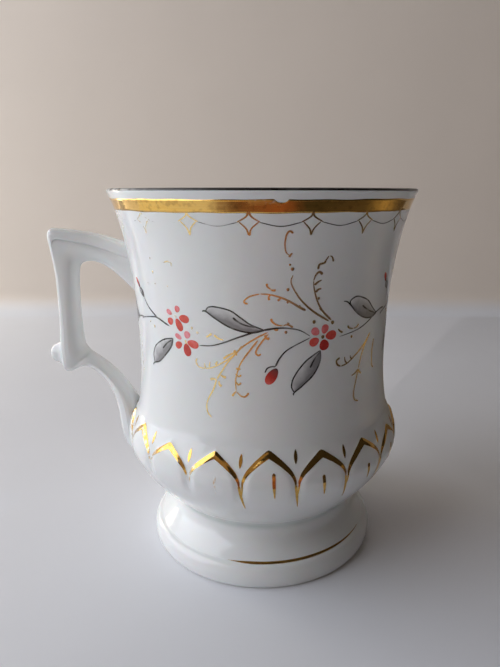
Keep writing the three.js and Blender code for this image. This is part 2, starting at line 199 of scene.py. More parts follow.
class MugColours(PropertyGroup):
    """Colours of the finishes."""

    porcelain: colour("Porcelain", "White body under a clear glaze", "eaecec")
    porcelain_shade: colour("Porcelain cloud", "Faint clouds in the glaze", "e3e6e6")
    # Darker, greener tone for the crease under the bowl: partly the tint of pooled glaze, partly painted
    # shade.
    crease_glaze_and_shade: colour("Pooled glaze", "Glaze that ran together in a crease", "c3cdc9")
    speck: colour("Iron speck", "Specks fired into the glaze", "5d574f")
    bisque: colour("Bisque", "Bare porcelain of the standing ring", "dcd8d0")
    gold: colour("Gold", "Fired bright gold", "ecc97c")
    gold_deep: colour("Deep gold", "Where the gold lies thick", "dcaa56")
    arch_gold: colour("Arch gold", "Gold brushed on the petals", "e0bc70")
    arch_gold_deep: colour("Deep arch gold", "Where the brush left more", "d09e4c")
    thin_gold: colour("Thin gold", "Gold drawn with a pen", "ecd6aa")
    thin_gold_deep: colour("Deep thin gold", "Where the pen left more", "dcc290")
    # Dirt in the gold's scratches; on the foot's gold line it also stands for painted dark reflection.
    soil_and_dark_reflection: colour("Soiled gold", "Gold with dirt in its scratches", "4a3a28")
    ink: colour("Ink", "Outlines and stems", "262524")
    rose_pale: colour("Pale rose", "Thin wash of the flowers", "ec96a0")
    rose: colour("Rose", "Body of the flowers", "dd5549")
    rose_deep: colour("Deep rose", "Thick enamel of the flowers", "b82a25")
    calyx: colour("Calyx", "Dark end of the buds", "4c3a3c")
    leaf_pale: colour("Pale leaf", "Thin wash of the leaves", "dadbdc")
    leaf: colour("Leaf", "Thick wash of the leaves", "88878a")
    lip: colour("Lip line", "Dark line on the crest of the lip", "1e1b18")
    floor: colour("Floor", "Pale table", "e5e7ec")
    backdrop: colour("Backdrop", "Plain wall behind the table", "ece0d3")


def smoothstep(value, low, high):
    """0 at low, 1 at high and an S-shaped rise between them."""
    t = min(max((value - low) / (high - low), 0.0), 1.0)
    return t * t * (3 - 2 * t)


def rows(low, high, spacing):
    """Heights from one to another, without the last, about one spacing apart."""
    count = max(1, round(abs(high - low) / spacing))
    return [low + (high - low) * i / count for i in range(count)]


def smooth_line(points, steps=CURVE_STEPS):
    """Points of a smooth curve that runs through a few given ones."""
    through = [Vector(p) for p in points]
    guided = [2 * through[0] - through[1], *through, 2 * through[-1] - through[-2]]
    line = []
    for a, b, c, d in zip(guided, guided[1:], guided[2:], guided[3:]):
        for t in (i / steps for i in range(steps)):
            bend = (2 * a - 5 * b + 4 * c - d) * t ** 2 + (3 * b - a - 3 * c + d) * t ** 3
            line.append((2 * b + (c - a) * t + bend) / 2)
    return [*line, through[-1]]


def at_share(line, share):
    """The point, or the value, at a share of the way along a line of them."""
    place = share * (len(line) - 1)
    i = min(int(place), len(line) - 2)
    return line[i] + (line[i + 1] - line[i]) * (place - i)


class Wall:
    """The bowl's outside: its radius by height, with pointed petals raised round the bulge."""

    def __init__(self, sizes):
        self.sizes = sizes
        self.lip_edge = MUG_HEIGHT - sizes.lip_round
        # Height, radius, and the slope below and above it.
        self.stations = [
            (BOWL_BASE, sizes.neck_radius, NECK_SLOPE, NECK_SLOPE),
            (sizes.bulge_height, sizes.bulge_radius, 0.0, 0.0),
            (sizes.shoulder_height, sizes.shoulder_radius, SHOULDER_SLOPE_BELOW, SHOULDER_SLOPE_ABOVE),
            (sizes.waist_height, sizes.waist_radius, 0.0, 0.0),
            (sizes.flare_height, sizes.flare_radius, FLARE_SLOPE, FLARE_SLOPE),
            (self.lip_edge, RIM_RADIUS, RIM_SLOPE, RIM_SLOPE),
        ]

    def radius(self, height):
        """Outer radius without the petals: a cubic between the stations on either side."""
        spans = list(zip(self.stations, self.stations[1:]))
        low, high = next((s for s in spans if height <= s[1][0]), spans[-1])
        rise = high[0] - low[0]
        t = (height - low[0]) / rise
        blend = t * t * (3 - 2 * t)
        leave = t * (1 - t) ** 2 * rise * low[3]
        arrive = t * t * (t - 1) * rise * high[2]
        return low[1] + (high[1] - low[1]) * blend + leave + arrive

    def inside(self, height):
        """Inner radius: the wall thins from the waist up to the lip."""
        sizes = self.sizes
        share = min(max((height - sizes.waist_height) / (self.lip_edge - sizes.waist_height), 0.0), 1.0)
        return self.radius(height) - sizes.wall + (sizes.wall - sizes.lip_thickness) * share

    def lip(self, turned, lift):
        """A point of the rounded lip: its outer edge at no turn, its inner edge at half a turn."""
        half = self.sizes.lip_thickness / 2
        spread = math.copysign(abs(math.cos(turned)) ** 0.7, math.cos(turned))
        crest = MUG_HEIGHT - self.sizes.enamel_thickness
        rise = (crest - self.lip_edge) * math.sin(turned) ** 0.8
        return (
            RIM_RADIUS - half + half * spread + lift * math.cos(turned),
            self.lip_edge + rise + lift * math.sin(turned),
        )

    def arch(self, height):
        """Half the angle that a petal's arch spans at a height."""
        sizes = self.sizes
        t = min(max((sizes.petal_apex - height) / sizes.petal_arch, 0.0), 1.0)
        return math.pi / sizes.petal_count * (1 - (1 - t) ** ARCH_FULLNESS)

    def relief(self, angle, height):
        """How far a petal stands proud at an angle from the front and a height."""
        sizes = self.sizes
        springing = sizes.petal_apex - sizes.petal_arch
        pitch = math.tau / sizes.petal_count
        offset = abs((angle - sizes.petal_phase + pitch / 2) % pitch - pitch / 2)
        margin = (self.arch(height) - offset) * sizes.bulge_radius
        fade = smoothstep(height, springing - sizes.petal_fade, springing)
        return sizes.petal_relief * smoothstep(margin, 0.0, sizes.petal_edge) * fade

    def place(self, across, height, lift):
        """The point that lies across the wall from the front, up from the table and lifted off the wall."""
        angle = across / TRAIL_RADIUS
        probe = FINE_ROW / 2
        slope = (self.radius(height + probe) - self.radius(height - probe)) / (2 * probe)
        tilt = math.hypot(1.0, slope)
        radius = self.radius(height) + self.relief(angle, height) + lift / tilt
        upward = height - lift * slope / tilt
        return Vector((AXIS_X + radius * math.sin(angle), -radius * math.cos(angle), upward))


def turn(profile, steps, closed=False):
    """A bmesh turned about Z from a profile of radius and height."""
    bm = bmesh.new()
    verts = [bm.verts.new((radius, 0.0, height)) for radius, height in profile]
    ends = verts[1:] + verts[:1] if closed else verts[1:]
    edges = [bm.edges.new(pair) for pair in zip(verts, ends)]
    bmesh.ops.spin(
        bm, geom=verts + edges, cent=(0, 0, 0), axis=(0, 0, 1), angle=math.tau, steps=steps, use_merge=True
    )
    bmesh.ops.remove_doubles(bm, verts=bm.verts, dist=WELD)
    bmesh.ops.recalc_face_normals(bm, faces=bm.faces)
    return bm


def front_angle(vert):
    """The angle from the front at which a vertex of a turned bmesh lies."""
    return math.atan2(vert.co.x, -vert.co.y)


def new_object(bm, name, material):
    """Makes the bmesh a smooth object of one material in the scene."""
    for face in bm.faces:
        face.smooth = True
    mesh = bpy.data.meshes.new(name)
    bm.to_mesh(mesh)
    bm.free()
    mesh.materials.append(material)
    thing = bpy.data.objects.new(name, mesh)
    bpy.context.scene.collection.objects.link(thing)
    return thing


def add_piece(bm, name, material, nodes=()):
    """Makes the bmesh a piece of the mug that stands for the given nodes."""
    piece = new_object(bm, name, material)
    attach(piece, "root")
    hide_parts(*nodes)
    return piece


def add_turned(bm, name, material, nodes):
    """Moves a turned bmesh to the bowl's axis and makes it a piece."""
    bmesh.ops.translate(bm, verts=bm.verts, vec=(AXIS_X, 0.0, 0.0))
    add_piece(bm, name, material, nodes)


def add_node(tree, kind, links=(), output=0, stops=(), **settings):
    """Adds a shader node with its settings and returns one of its outputs; links holds a value or another
    node's output for each input, by name or number, or as a list from the first on."""
    node = tree.nodes.new("ShaderNode" + kind)
    for name, value in settings.items():
        setattr(node, name, value)
    for i, (position, stop_colour) in enumerate(stops):
        elements = node.color_ramp.elements
        element = elements[i] if i < len(elements) else elements.new(position)
        element.position = position
        element.color = stop_colour
    for name, value in links.items() if isinstance(links, dict) else enumerate(links):
        if isinstance(value, NodeSocket):
            tree.links.new(value, node.inputs[name])
        else:
            node.inputs[name].default_value = value
    return node.outputs[output] if node.outputs else None


def new_material(name):
    """An empty node material, the function that adds nodes to it, and its Object coordinates."""
    material = bpy.data.materials.new(name)
    material.use_nodes = True
    material.node_tree.nodes.clear()
    add = functools.partial(add_node, material.node_tree)
    return material, add, add("TexCoord", output="Object")


def surfaced(material, kind, links):
    """The material, ended with a shader of a kind."""
    shader = add_node(material.node_tree, kind, links)
    add_node(material.node_tree, "OutputMaterial", {"Surface": shader})
    return material


def per(millimetres):
    """The texture scale that repeats once in so many millimetres."""
    return 1.0 / (millimetres * MM)


def glazed_porcelain(colours):
    """Hard-paste porcelain, slip-cast and dipped in a clear glaze: white, mirror-smooth but a little wavy,
    greenish and darker at the height of the crease under the bowl, partly pooled glaze and partly painted
    shade, with a few iron specks and a bare standing ring."""
    material, add, place = new_material("glazed_porcelain")
    height = add("SeparateXYZ", [place], "Z")
    cloud = add("TexNoise", {"Vector": place, "Scale": per(26), "Detail": 3.0})
    body = add("Mix", {0: cloud, 6: colours.porcelain, 7: colours.porcelain_shade}, **COLOUR_MIX)
    # Painted shade, partly real pooled glaze: darker and greener within 2.2 mm of the crease under the bowl.
    crease = add("Math", [height, BOWL_BASE], operation="SUBTRACT")
    distance = add("Math", [crease], operation="ABSOLUTE")
    crease_glaze_and_shade_mask = add("MapRange", [distance, 2.2 * MM, 0.0, 0.0, 0.8], **SOFT_RANGE)
    with_crease_glaze_and_shade = add("Mix", {0: crease_glaze_and_shade_mask, 6: body, 7: colours.crease_glaze_and_shade}, **COLOUR_MIX)
    cells = add("TexVoronoi", {"Vector": place, "Scale": per(13)}, "Distance")
    dot = add("MapRange", [cells, 0.026, 0.012, 0.0, 0.7])
    chance = add("SeparateColor", [cells.node.outputs["Color"]], "Red")
    rare = add("Math", [chance, 0.16], operation="LESS_THAN")
    speck = add("Math", [dot, rare], operation="MULTIPLY")
    specked = add("Mix", {0: speck, 6: with_crease_glaze_and_shade, 7: colours.speck}, **COLOUR_MIX)
    bare = add("MapRange", [height, 0.45 * MM, 0.15 * MM], **SOFT_RANGE)
    skin = add("Mix", {0: bare, 6: specked, 7: colours.bisque}, **COLOUR_MIX)
    gloss = add("MapRange", [bare, 0.0, 1.0, 0.09, 0.7])
    wave = add("TexNoise", {"Vector": place, "Scale": per(7), "Detail": 1.0})
    ripple = add("Bump", {"Height": wave, "Strength": 0.12, "Distance": 0.12 * MM})
    return surfaced(material, "BsdfPrincipled", {
        "Base Color": skin,
        "Roughness": gloss,
        "Normal": ripple,
        "IOR": GLAZE_IOR,
        "Subsurface Weight": 0.12,
        "Subsurface Scale": 1.5 * MM,
    })


def fired_gold(colours, name, worn, kept, deep, bright):
    """Bright gold brushed on the glaze and fired: a mirror film with fine streaks round the mug. It is
    rubbed through to the white at the worn distance from the mug's axis along X, and whole at the kept one.
    The shade attribute says where it is rubbed more: dull at first, and gone at 1. Its streaks run from a
    deep tone to a bright one, with dark tarnish in spots."""
    material, add, place = new_material(name)
    reach = add("SeparateXYZ", [place], "X")
    whole = add("MapRange", [reach, AXIS_X + worn, AXIS_X + kept, 0.0, 0.62])
    grain = add("TexNoise", {"Vector": place, "Scale": per(1.1), "Detail": 4.0})
    rubbed = add("Attribute", output="Fac", attribute_name="shade")
    laid = add("Math", [grain, whole])
    left = add("Math", [rubbed, -0.75, laid], operation="MULTIPLY_ADD")
    film = add("MapRange", [left, 0.44, 0.76], **SOFT_RANGE)
    stretched = add("Mapping", {"Vector": place, "Scale": (1.0, 1.0, 14.0)})
    streak = add("TexNoise", {"Vector": stretched, "Scale": per(5), "Detail": 5.0})
    clean = add("Mix", {0: streak, 6: deep, 7: bright}, **COLOUR_MIX)
    spots = add("TexNoise", {"Vector": place, "Scale": per(1.2), "Detail": 5.0})
    tarnish = add("MapRange", [spots, 0.5, 0.66, 0.0, 0.25])
    gold = add("Mix", {0: tarnish, 6: clean, 7: colours.soil_and_dark_reflection}, **COLOUR_MIX)
    skin = add("Mix", {0: film, 6: colours.porcelain, 7: gold}, **COLOUR_MIX)
    gloss = add("MapRange", [streak, 0.3, 0.7, 0.06, 0.16])
    dulled = add("Math", [rubbed, 0.5, gloss], operation="MULTIPLY_ADD")
    ridge = add("Bump", {"Height": streak, "Strength": 0.3, "Distance": 0.05 * MM})
    links = {"Base Color": skin, "Metallic": film, "Roughness": dulled, "Normal": ridge}
    return surfaced(material, "BsdfPrincipled", links)


def line_enamel(name, ink, porcelain, dry):
    """Dark on-glaze enamel drawn with a pen and fired: glossy, thinner and paler by the dry share where the
    pen ran dry, and rubbed away in patches where the shade attribute says so."""
    material, add, place = new_material(name)
    flow = add("TexNoise", {"Vector": place, "Scale": per(2.5), "Detail": 3.0})
    thin = add("MapRange", [flow, 0.5, 0.75, 0.0, dry])
    patch = add("MapRange", [flow, 0.36, 0.52])
    rubbed = add("Attribute", output="Fac", attribute_name="shade")
    bare = add("Math", [rubbed, patch, thin], operation="MULTIPLY_ADD", use_clamp=True)
    skin = add("Mix", {0: bare, 6: ink, 7: porcelain}, **COLOUR_MIX)
    gloss = add("MapRange", [flow, 0.0, 1.0, 0.2, 0.4])
    return surfaced(material, "BsdfPrincipled", {"Base Color": skin, "Roughness": gloss, "IOR": ENAMEL_IOR})


def rose_enamel(colours):
    """Red on-glaze enamel laid on in dabs and fired: pink where it is thin and dark red where it pooled.
    The shade attribute says how thick each dab is, and past 1 it turns to the dark calyx of a bud."""
    material, add, place = new_material("rose_enamel")
    shade = add("Attribute", output="Fac", attribute_name="shade")
    mottle = add("TexNoise", {"Vector": place, "Scale": per(1.3), "Detail": 3.0})
    uneven = add("MapRange", [mottle, 0.0, 1.0, -0.28, 0.28])
    thickness = add("Math", [shade, uneven])
    ramped = add("Math", [thickness, 0.5], operation="MULTIPLY")
    stops = ((0.1, colours.rose_pale), (0.3, colours.rose), (0.5, colours.rose_deep), (0.85, colours.calyx))
    skin = add("ValToRGB", [ramped], stops=stops)
    links = {"Base Color": skin, "Roughness": ENAMEL_ROUGHNESS, "IOR": ENAMEL_IOR}
    return surfaced(material, "BsdfPrincipled", links)


def leaf_enamel(colours):
    """Grey on-glaze enamel washed over each leaf and fired: thin and pale along one edge, thick and dark
    along the other. The wash follows the leaf's own UV map."""
    material, add, place = new_material("leaf_enamel")
    wash = add("SeparateXYZ", [add("UVMap", uv_map="UVMap")], "Y")
    mottle = add("TexNoise", {"Vector": place, "Scale": per(2.2), "Detail": 4.0})
    uneven = add("MapRange", [mottle, 0.0, 1.0, -0.3, 0.3])
    thickness = add("Math", [wash, uneven])
    skin = add("ValToRGB", [thickness], stops=((0.0, colours.leaf_pale), (0.75, colours.leaf)))
    links = {"Base Color": skin, "Roughness": ENAMEL_ROUGHNESS, "IOR": ENAMEL_IOR}
    return surfaced(material, "BsdfPrincipled", links)


def matt_paint(low_tone, high_tone, blend):
    """Plain matt paint with a faint roller mottle: one tone on the table, which blends into the wall's."""
    material, add, place = new_material("matt_paint")
    height = add("SeparateXYZ", [place], "Z")
    upper = add("MapRange", [height, 0.0, blend], **SOFT_RANGE)
    tone = add("Mix", {0: upper, 6: low_tone, 7: high_tone}, **COLOUR_MIX)
    mottle = add("TexNoise", {"Vector": place, "Scale": per(60), "Detail": 2.0})
    value = add("MapRange", [mottle, 0.0, 1.0, 0.97, 1.03])
    skin = add("HueSaturation", {"Color": tone, "Value": value})
    return surfaced(material, "BsdfPrincipled", {"Base Color": skin, "Roughness": 0.45})


class Painter:
    """Lays gold and enamel on the bowl's wall; every dab is a grid that follows the wall."""

    # How far a stroke that is rubbed through narrows and sinks, as shares of its width and its thickness.
    NARROWED = 0.4
    SUNK = 1.2

    def __init__(self, wall, thickness):
        self.wall = wall
        self.thickness = thickness
        self.bm = bmesh.new()
        self.bm.loops.layers.uv.new("UVMap")
        self.shade = self.bm.verts.layers.float.new("shade")

    def lay(self, long_steps, side_steps, place):
        """Adds a grid; place gives the flat point, the lift and the shade at a share along and a side."""
        grid = bmesh.ops.create_grid(
            self.bm, x_segments=long_steps, y_segments=side_steps, size=0.5, calc_uvs=True
        )
        for vert in grid["verts"]:
            spot, lift, shade = place(vert.co.x + 0.5, 2 * vert.co.y)
            vert.co = self.wall.place(spot.x, spot.y, lift)
            vert[self.shade] = shade

    def stroke(self, line, millimetres, pointed=False, wear=None):
        """A brush stroke along a line; its widths are spread evenly along it, and its ends round or pointed.
        Where the wear, a share for each flat point, is high, it is rubbed down into the glaze."""
        last = len(line) - 1
        widths = [width * MM for width in millimetres]

        def place(share, side):
            i = round(share * last)
            forward = (line[min(i + 1, last)] - line[max(i - 1, 0)]).normalized()
            leftward = Vector((-forward.y, forward.x))
            taper = math.sin(math.pi * share) ** 0.7 if pointed else (1 - abs(2 * share - 1) ** 14) ** 0.5
            rubbed = wear(line[i]) if wear else 0.0
            width = at_share(widths, share) * taper * (1 - self.NARROWED * rubbed)
            return line[i] + leftward * (side * width / 2), self.thickness * (1 - self.SUNK * rubbed), rubbed

        self.lay(last, BROAD_STEPS if max(widths) > BROAD_STROKE else THIN_STEPS, place)

    def dab(self, middle, tip, half_width, shade, tip_shade):
        """An egg-shaped dab about a middle, wider towards its tip and thicker at its crown."""
        forward = tip - middle
        leftward = Vector((-forward.y, forward.x)).normalized() * half_width
        wider, thicker = 0.15, 0.8

        def place(share, side):
            along = 2 * share - 1
            x = along * math.sqrt(1 - side * side / 2)
            y = side * math.sqrt(1 - along * along / 2)
            spot = middle + forward * x + leftward * (y * (1 + wider * x))
            crown = 1 + thicker * (1 - min(1.0, x * x + y * y))
            return spot, self.thickness * crown, shade + (tip_shade - shade) * (x + 1) / 2

        self.lay(DAB_STEPS, DAB_STEPS, place)

    def leaf(self, pale, dark):
        """A thin wash between the two edges of a leaf, which start at its base and end at its tip."""
        lift = 0.7 * self.thickness

        def place(share, side):
            return at_share(pale, share).lerp(at_share(dark, share), (side + 1) / 2), lift, 0.0

        self.lay(LEAF_STEPS, DAB_STEPS, place)

    def finish(self, name, material, slot):
        """Makes what was laid one piece, thick enough to sink into the glaze below it."""
        bm = self.bm
        bmesh.ops.remove_doubles(bm, verts=bm.verts, dist=WELD)
        bmesh.ops.dissolve_degenerate(bm, edges=bm.edges, dist=WELD)
        bm.normal_update()
        for face in bm.faces:
            middle = face.calc_center_median()
            if face.normal.x * (middle.x - AXIS_X) + face.normal.y * middle.y < 0:
                face.normal_flip()
        for edge in bm.edges:
            edge.smooth = not edge.is_boundary
        body = add_piece(bm, name, material).modifiers.new("paint_body", "SOLIDIFY")
        body.thickness = 2.5 * self.thickness
        body.offset = -1.0


def flat(points, turn_angle=0.0, drift=0.0):
    """Points in millimetres across and up, turned about the mug by an angle, in metres."""
    return [Vector((x * MM + turn_angle * TRAIL_RADIUS, (z + drift) * MM)) for x, z in points]


def drawn(points, turn_angle=0.0, drift=0.0):
    """The smooth line through points that are placed as flat places them."""
    return smooth_line(flat(points, turn_angle, drift))


# The painted trail, in millimetres across the wall from the front and up from the table.
STEMS = (
    ((-35.4, 76.7), (-33.3, 74.5), (-29.3, 72.3)),
    ((-38.6, 70.5), (-36.8, 71.2), (-32.2, 72.1), (-29.3, 72.3), (-24.6, 70.9)),
    ((-15.6, 67.3), (-12.4, 67.6), (-9.4, 68.5), (-5.7, 70.0), (-2.1, 71.3), (0.6, 71.9)),
    ((11.5, 70.0), (8.8, 71.6), (5.5, 72.3), (2.9, 72.3), (0.2, 71.9)),
    ((11.6, 69.7), (6.3, 67.2), (4.2, 65.1), (3.1, 63.0)),
    ((19.6, 69.0), (25.7, 69.9), (29.7, 71.2), (33.4, 72.9), (36.4, 73.6), (38.6, 73.6)),
)

# Leaves: pale edge, dark edge and vein, each from base to tip, and the tail that the dark edge ends in.
LEAVES = (
    (
        ((0.5, 71.9), (-2.7, 73.2), (-5.0, 74.8), (-7.4, 76.4), (-10.8, 77.1), (-12.6, 76.9), (-13.4, 75.9)),
        ((0.5, 71.9), (-2.1, 71.3), (-5.0, 71.6), (-8.0, 72.6), (-11.0, 74.3), (-13.4, 75.9)),
        ((-1.6, 72.5), (-4.1, 73.1), (-5.6, 73.8), (-6.8, 74.8)),
        ((-14.3, 75.8),),
    ),
    (
        ((-23.7, 68.0), (-27.4, 67.0), (-31.2, 64.7), (-32.6, 62.3), (-32.4, 59.9)),
        ((-23.7, 68.0), (-24.5, 65.8), (-26.7, 63.4), (-29.7, 60.9), (-32.4, 59.9)),
        ((-24.3, 67.4), (-26.2, 66.2), (-28.0, 64.6)),
        ((-33.3, 59.1),),
    ),
    (
        ((14.3, 66.3), (10.5, 63.8), (7.8, 60.4), (7.1, 57.9), (7.8, 56.3)),
        ((14.3, 66.3), (14.3, 63.6), (12.8, 60.5), (9.8, 57.8), (7.8, 56.3)),
        ((14.1, 65.8), (12.7, 64.0), (11.7, 62.1)),
        ((7.6, 55.6),),
    ),
    (
        (
            (33.9, 72.9), (31.4, 74.7), (29.0, 76.8), (26.2, 78.0), (24.2, 78.4), (22.7, 77.9), (22.2, 77.1),
            (22.8, 76.2),
        ),
        ((33.9, 72.9), (32.0, 72.3), (29.4, 72.3), (26.7, 73.2), (24.4, 74.7), (22.8, 76.2)),
        ((33.1, 73.0), (29.6, 74.2), (26.7, 75.9)),
        ((21.3, 77.4), (20.1, 77.7)),
    ),
    (
        ((-35.4, 76.7), (-36.9, 77.4), (-37.6, 78.3), (-37.4, 79.0)),
        ((-35.4, 76.7), (-35.5, 77.8), (-36.1, 78.6), (-37.4, 79.0)),
        ((-35.6, 76.9), (-36.1, 77.5), (-36.5, 78.0)),
        ((-37.7, 79.2),),
    ),
)

# Flowers: the heart, then the middle of each petal, half its length and width, and how thick its enamel is.
FLOWERS = (
    (
        (-22.3, 73.6),
        (
            (-24.3, 74.5, 0.95, 0.65, 0.35),
            (-21.5, 75.6, 0.85, 0.80, 0.45),
            (-24.1, 72.3, 1.00, 0.90, 0.60),
            (-19.6, 73.4, 1.50, 1.00, 0.65),
            (-21.3, 71.7, 1.65, 1.00, 0.75),
        ),
    ),
    (
        (-19.7, 67.8),
        (
            (-21.8, 68.7, 1.10, 0.65, 0.25),
            (-19.0, 69.5, 0.95, 0.90, 0.30),
            (-21.8, 66.6, 1.15, 0.90, 0.65),
            (-17.4, 67.4, 1.65, 1.00, 0.60),
            (-19.2, 65.7, 1.60, 1.10, 0.90),
        ),
    ),
    (
        (14.8, 69.5),
        (
            (12.8, 71.0, 1.15, 0.95, 0.40),
            (15.3, 71.4, 1.15, 0.95, 0.45),
            (17.1, 69.7, 1.50, 1.15, 0.70),
            (12.6, 68.5, 1.30, 1.05, 0.60),
            (15.3, 67.5, 1.35, 1.30, 1.00),
        ),
    ),
)

# Buds: where the calyx is, where the tip is, and half the width.
BUDS = (
    ((-37.2, 78.8), (-39.4, 81.3), 0.7),
    ((3.5, 62.5), (1.1, 58.7), 1.25),
)
SEPALS = (
    ((3.2, 63.0), (2.2, 63.0), (1.2, 62.6), (0.6, 61.5)),
)

# Gold scrolls: the width at each end, then the points.
SCROLLS = (
    (0.40, 0.30, ((1.3, 71.4), (-1.4, 70.0), (-4.5, 67.9), (-7.7, 64.9), (-11.8, 62.4), (-14.2, 61.7))),
    (0.30, 0.45, ((-14.2, 61.7), (-15.9, 61.9), (-16.7, 63.0), (-16.4, 64.0))),
    (0.45, 0.20, ((-14.2, 61.8), (-14.3, 63.1))),
    (0.45, 0.20, ((-13.1, 62.2), (-12.8, 63.6))),
    (0.60, 0.30, ((-11.4, 62.9), (-10.9, 63.9))),
    (0.30, 0.60, ((-6.4, 66.4), (-8.0, 65.6), (-9.4, 64.6))),
    (0.25, 0.45, ((-5.2, 67.1), (-8.2, 63.9), (-10.0, 61.2), (-11.1, 59.4))),
    (0.45, 0.35, ((-11.1, 59.4), (-12.2, 56.5), (-13.4, 54.3), (-13.9, 52.5), (-13.6, 50.7), (-12.5, 49.5))),
    (0.70, 0.40, ((-12.9, 59.1), (-12.0, 59.4), (-11.2, 59.0))),
    (0.35, 0.75, ((-10.1, 60.6), (-9.6, 60.2), (-8.8, 60.0))),
    (0.30, 0.80, ((-10.6, 59.0), (-10.5, 58.2), (-10.0, 57.6))),
    (0.70, 0.30, ((-6.7, 66.9), (-6.3, 66.3), (-6.0, 65.6))),
    (0.30, 0.55, ((-5.6, 66.8), (-5.1, 67.5), (-4.7, 67.9))),
    (0.45, 0.25, ((-1.0, 69.5), (-2.8, 67.1), (-4.8, 64.3), (-5.8, 62.0), (-6.4, 59.5), (-6.3, 56.6))),
    (0.55, 0.40, ((-6.2, 62.6), (-5.8, 62.2), (-5.2, 62.4))),
    (0.30, 0.50, ((-6.4, 61.1), (-5.7, 60.5), (-5.0, 60.8))),
    (0.30, 0.50, ((-6.4, 59.2), (-5.8, 58.4), (-5.0, 58.9))),
    (0.30, 0.55, ((-6.3, 56.7), (-6.8, 56.2), (-7.3, 55.4))),
    (0.25, 0.55, ((-6.2, 56.6), (-5.1, 55.6), (-4.1, 55.5), (-3.2, 56.5))),
    (0.40, 0.45, ((1.4, 71.0), (0.0, 69.2), (-1.1, 67.6), (-1.5, 66.4), (-0.9, 65.8), (-0.3, 66.2))),
    (0.40, 0.70, ((0.5, 70.7), (1.0, 70.0), (1.7, 69.8))),
    (0.60, 0.40, ((2.8, 72.3), (3.2, 71.9), (3.7, 72.1))),
    (0.60, 0.25, ((2.0, 74.7), (2.3, 73.9), (3.4, 73.1), (4.8, 72.9))),
    (0.25, 0.50, ((4.8, 72.9), (5.9, 73.1), (7.2, 72.4))),
    (0.65, 0.30, ((6.1, 73.6), (5.8, 73.0))),
    (0.60, 0.30, ((10.1, 76.3), (8.6, 77.1), (6.2, 78.6), (4.1, 79.6), (1.7, 80.3), (-0.5, 80.5))),
    (0.30, 0.45, ((-0.5, 80.5), (-2.7, 79.9), (-3.9, 79.0), (-4.0, 78.4), (-3.2, 78.1))),
    (0.30, 0.55, ((1.8, 80.3), (1.4, 79.7), (1.6, 79.0))),
    (0.30, 0.60, ((4.0, 79.6), (3.9, 79.2), (3.4, 78.9))),
    (0.30, 0.65, ((6.6, 78.4), (6.0, 78.6), (5.5, 78.3))),
    (0.70, 0.40, ((8.3, 77.6), (8.7, 77.1), (9.5, 76.6))),
    (0.55, 0.25, ((1.0, 82.9), (1.1, 82.2), (1.9, 81.5))),
    (0.30, 0.60, ((1.9, 81.5), (2.3, 81.3), (3.0, 81.3))),
    (0.55, 0.22, ((16.3, 73.2), (12.3, 75.7), (9.2, 78.4), (7.2, 81.1), (6.3, 83.2), (6.7, 84.8))),
    (0.22, 0.50, ((5.6, 89.2), (4.9, 90.0), (4.6, 91.8), (4.9, 93.8), (5.5, 94.5), (6.2, 94.0))),
    (0.60, 0.30, ((5.6, 88.8), (5.9, 89.3), (6.3, 89.7))),
    (0.55, 0.25, ((16.9, 73.4), (14.3, 75.9), (12.8, 78.4), (11.8, 81.3), (11.5, 83.2))),
    (0.25, 0.70, ((11.5, 83.2), (11.9, 84.5), (12.7, 85.2), (13.6, 84.6))),
    (0.60, 0.25, ((11.8, 82.2), (12.6, 82.9), (13.5, 83.3))),
    (0.65, 0.35, ((12.2, 80.5), (12.8, 81.1), (13.6, 81.3))),
    (0.65, 0.35, ((13.6, 76.8), (14.0, 76.2), (14.6, 75.7))),
    (0.55, 0.45, ((12.3, 85.8), (12.5, 86.8), (13.1, 87.1), (13.8, 87.2))),
    (0.60, 0.22, ((13.7, 87.1), (14.0, 87.8), (14.6, 88.8))),
    (0.22, 0.50, ((14.9, 88.8), (15.5, 88.4), (15.9, 87.4))),
    (0.35, 0.55, ((19.1, 71.0), (19.7, 70.4), (20.6, 69.9))),
    (0.60, 0.25, ((22.1, 71.4), (22.7, 70.7), (24.2, 70.4))),
    (0.25, 0.45, ((24.2, 70.4), (25.3, 70.6), (26.0, 71.3))),
    (0.55, 0.30, ((31.1, 67.6), (28.8, 65.5), (26.0, 63.6), (22.8, 61.8), (20.5, 61.3))),
    (0.45, 0.55, ((20.5, 61.3), (19.4, 62.0), (19.2, 63.0), (20.2, 63.6))),
    (0.25, 0.45, ((21.7, 63.6), (21.9, 62.6), (22.5, 61.8))),
    (0.25, 0.45, ((23.6, 63.6), (23.8, 63.0), (24.3, 62.6))),
    (0.60, 0.30, ((31.5, 68.2), (29.3, 65.4), (27.9, 62.5), (27.0, 59.4))),
    (0.45, 0.40, ((27.0, 59.4), (26.1, 56.1), (25.4, 53.6), (25.7, 51.6), (27.2, 50.8))),
    (0.60, 0.30, ((27.0, 59.3), (25.9, 58.6), (24.4, 58.1))),
    (0.60, 0.40, ((27.0, 59.3), (27.5, 58.6), (28.3, 57.9))),
    (0.55, 0.45, ((33.9, 66.1), (33.4, 64.0), (33.3, 61.3), (33.6, 59.0), (34.6, 58.0))),
    (0.40, 0.60, ((-13.6, 69.6), (-12.9, 70.0), (-12.1, 70.6))),
    (0.60, 0.30, ((-11.6, 70.3), (-10.4, 69.5), (-9.2, 69.2))),
    (0.60, 0.40, ((-19.7, 68.2), (-19.5, 67.7), (-19.2, 67.1))),
    (0.35, 0.45, ((-24.1, 86.6), (-22.7, 87.0), (-21.6, 86.7), (-21.6, 85.9))),
)

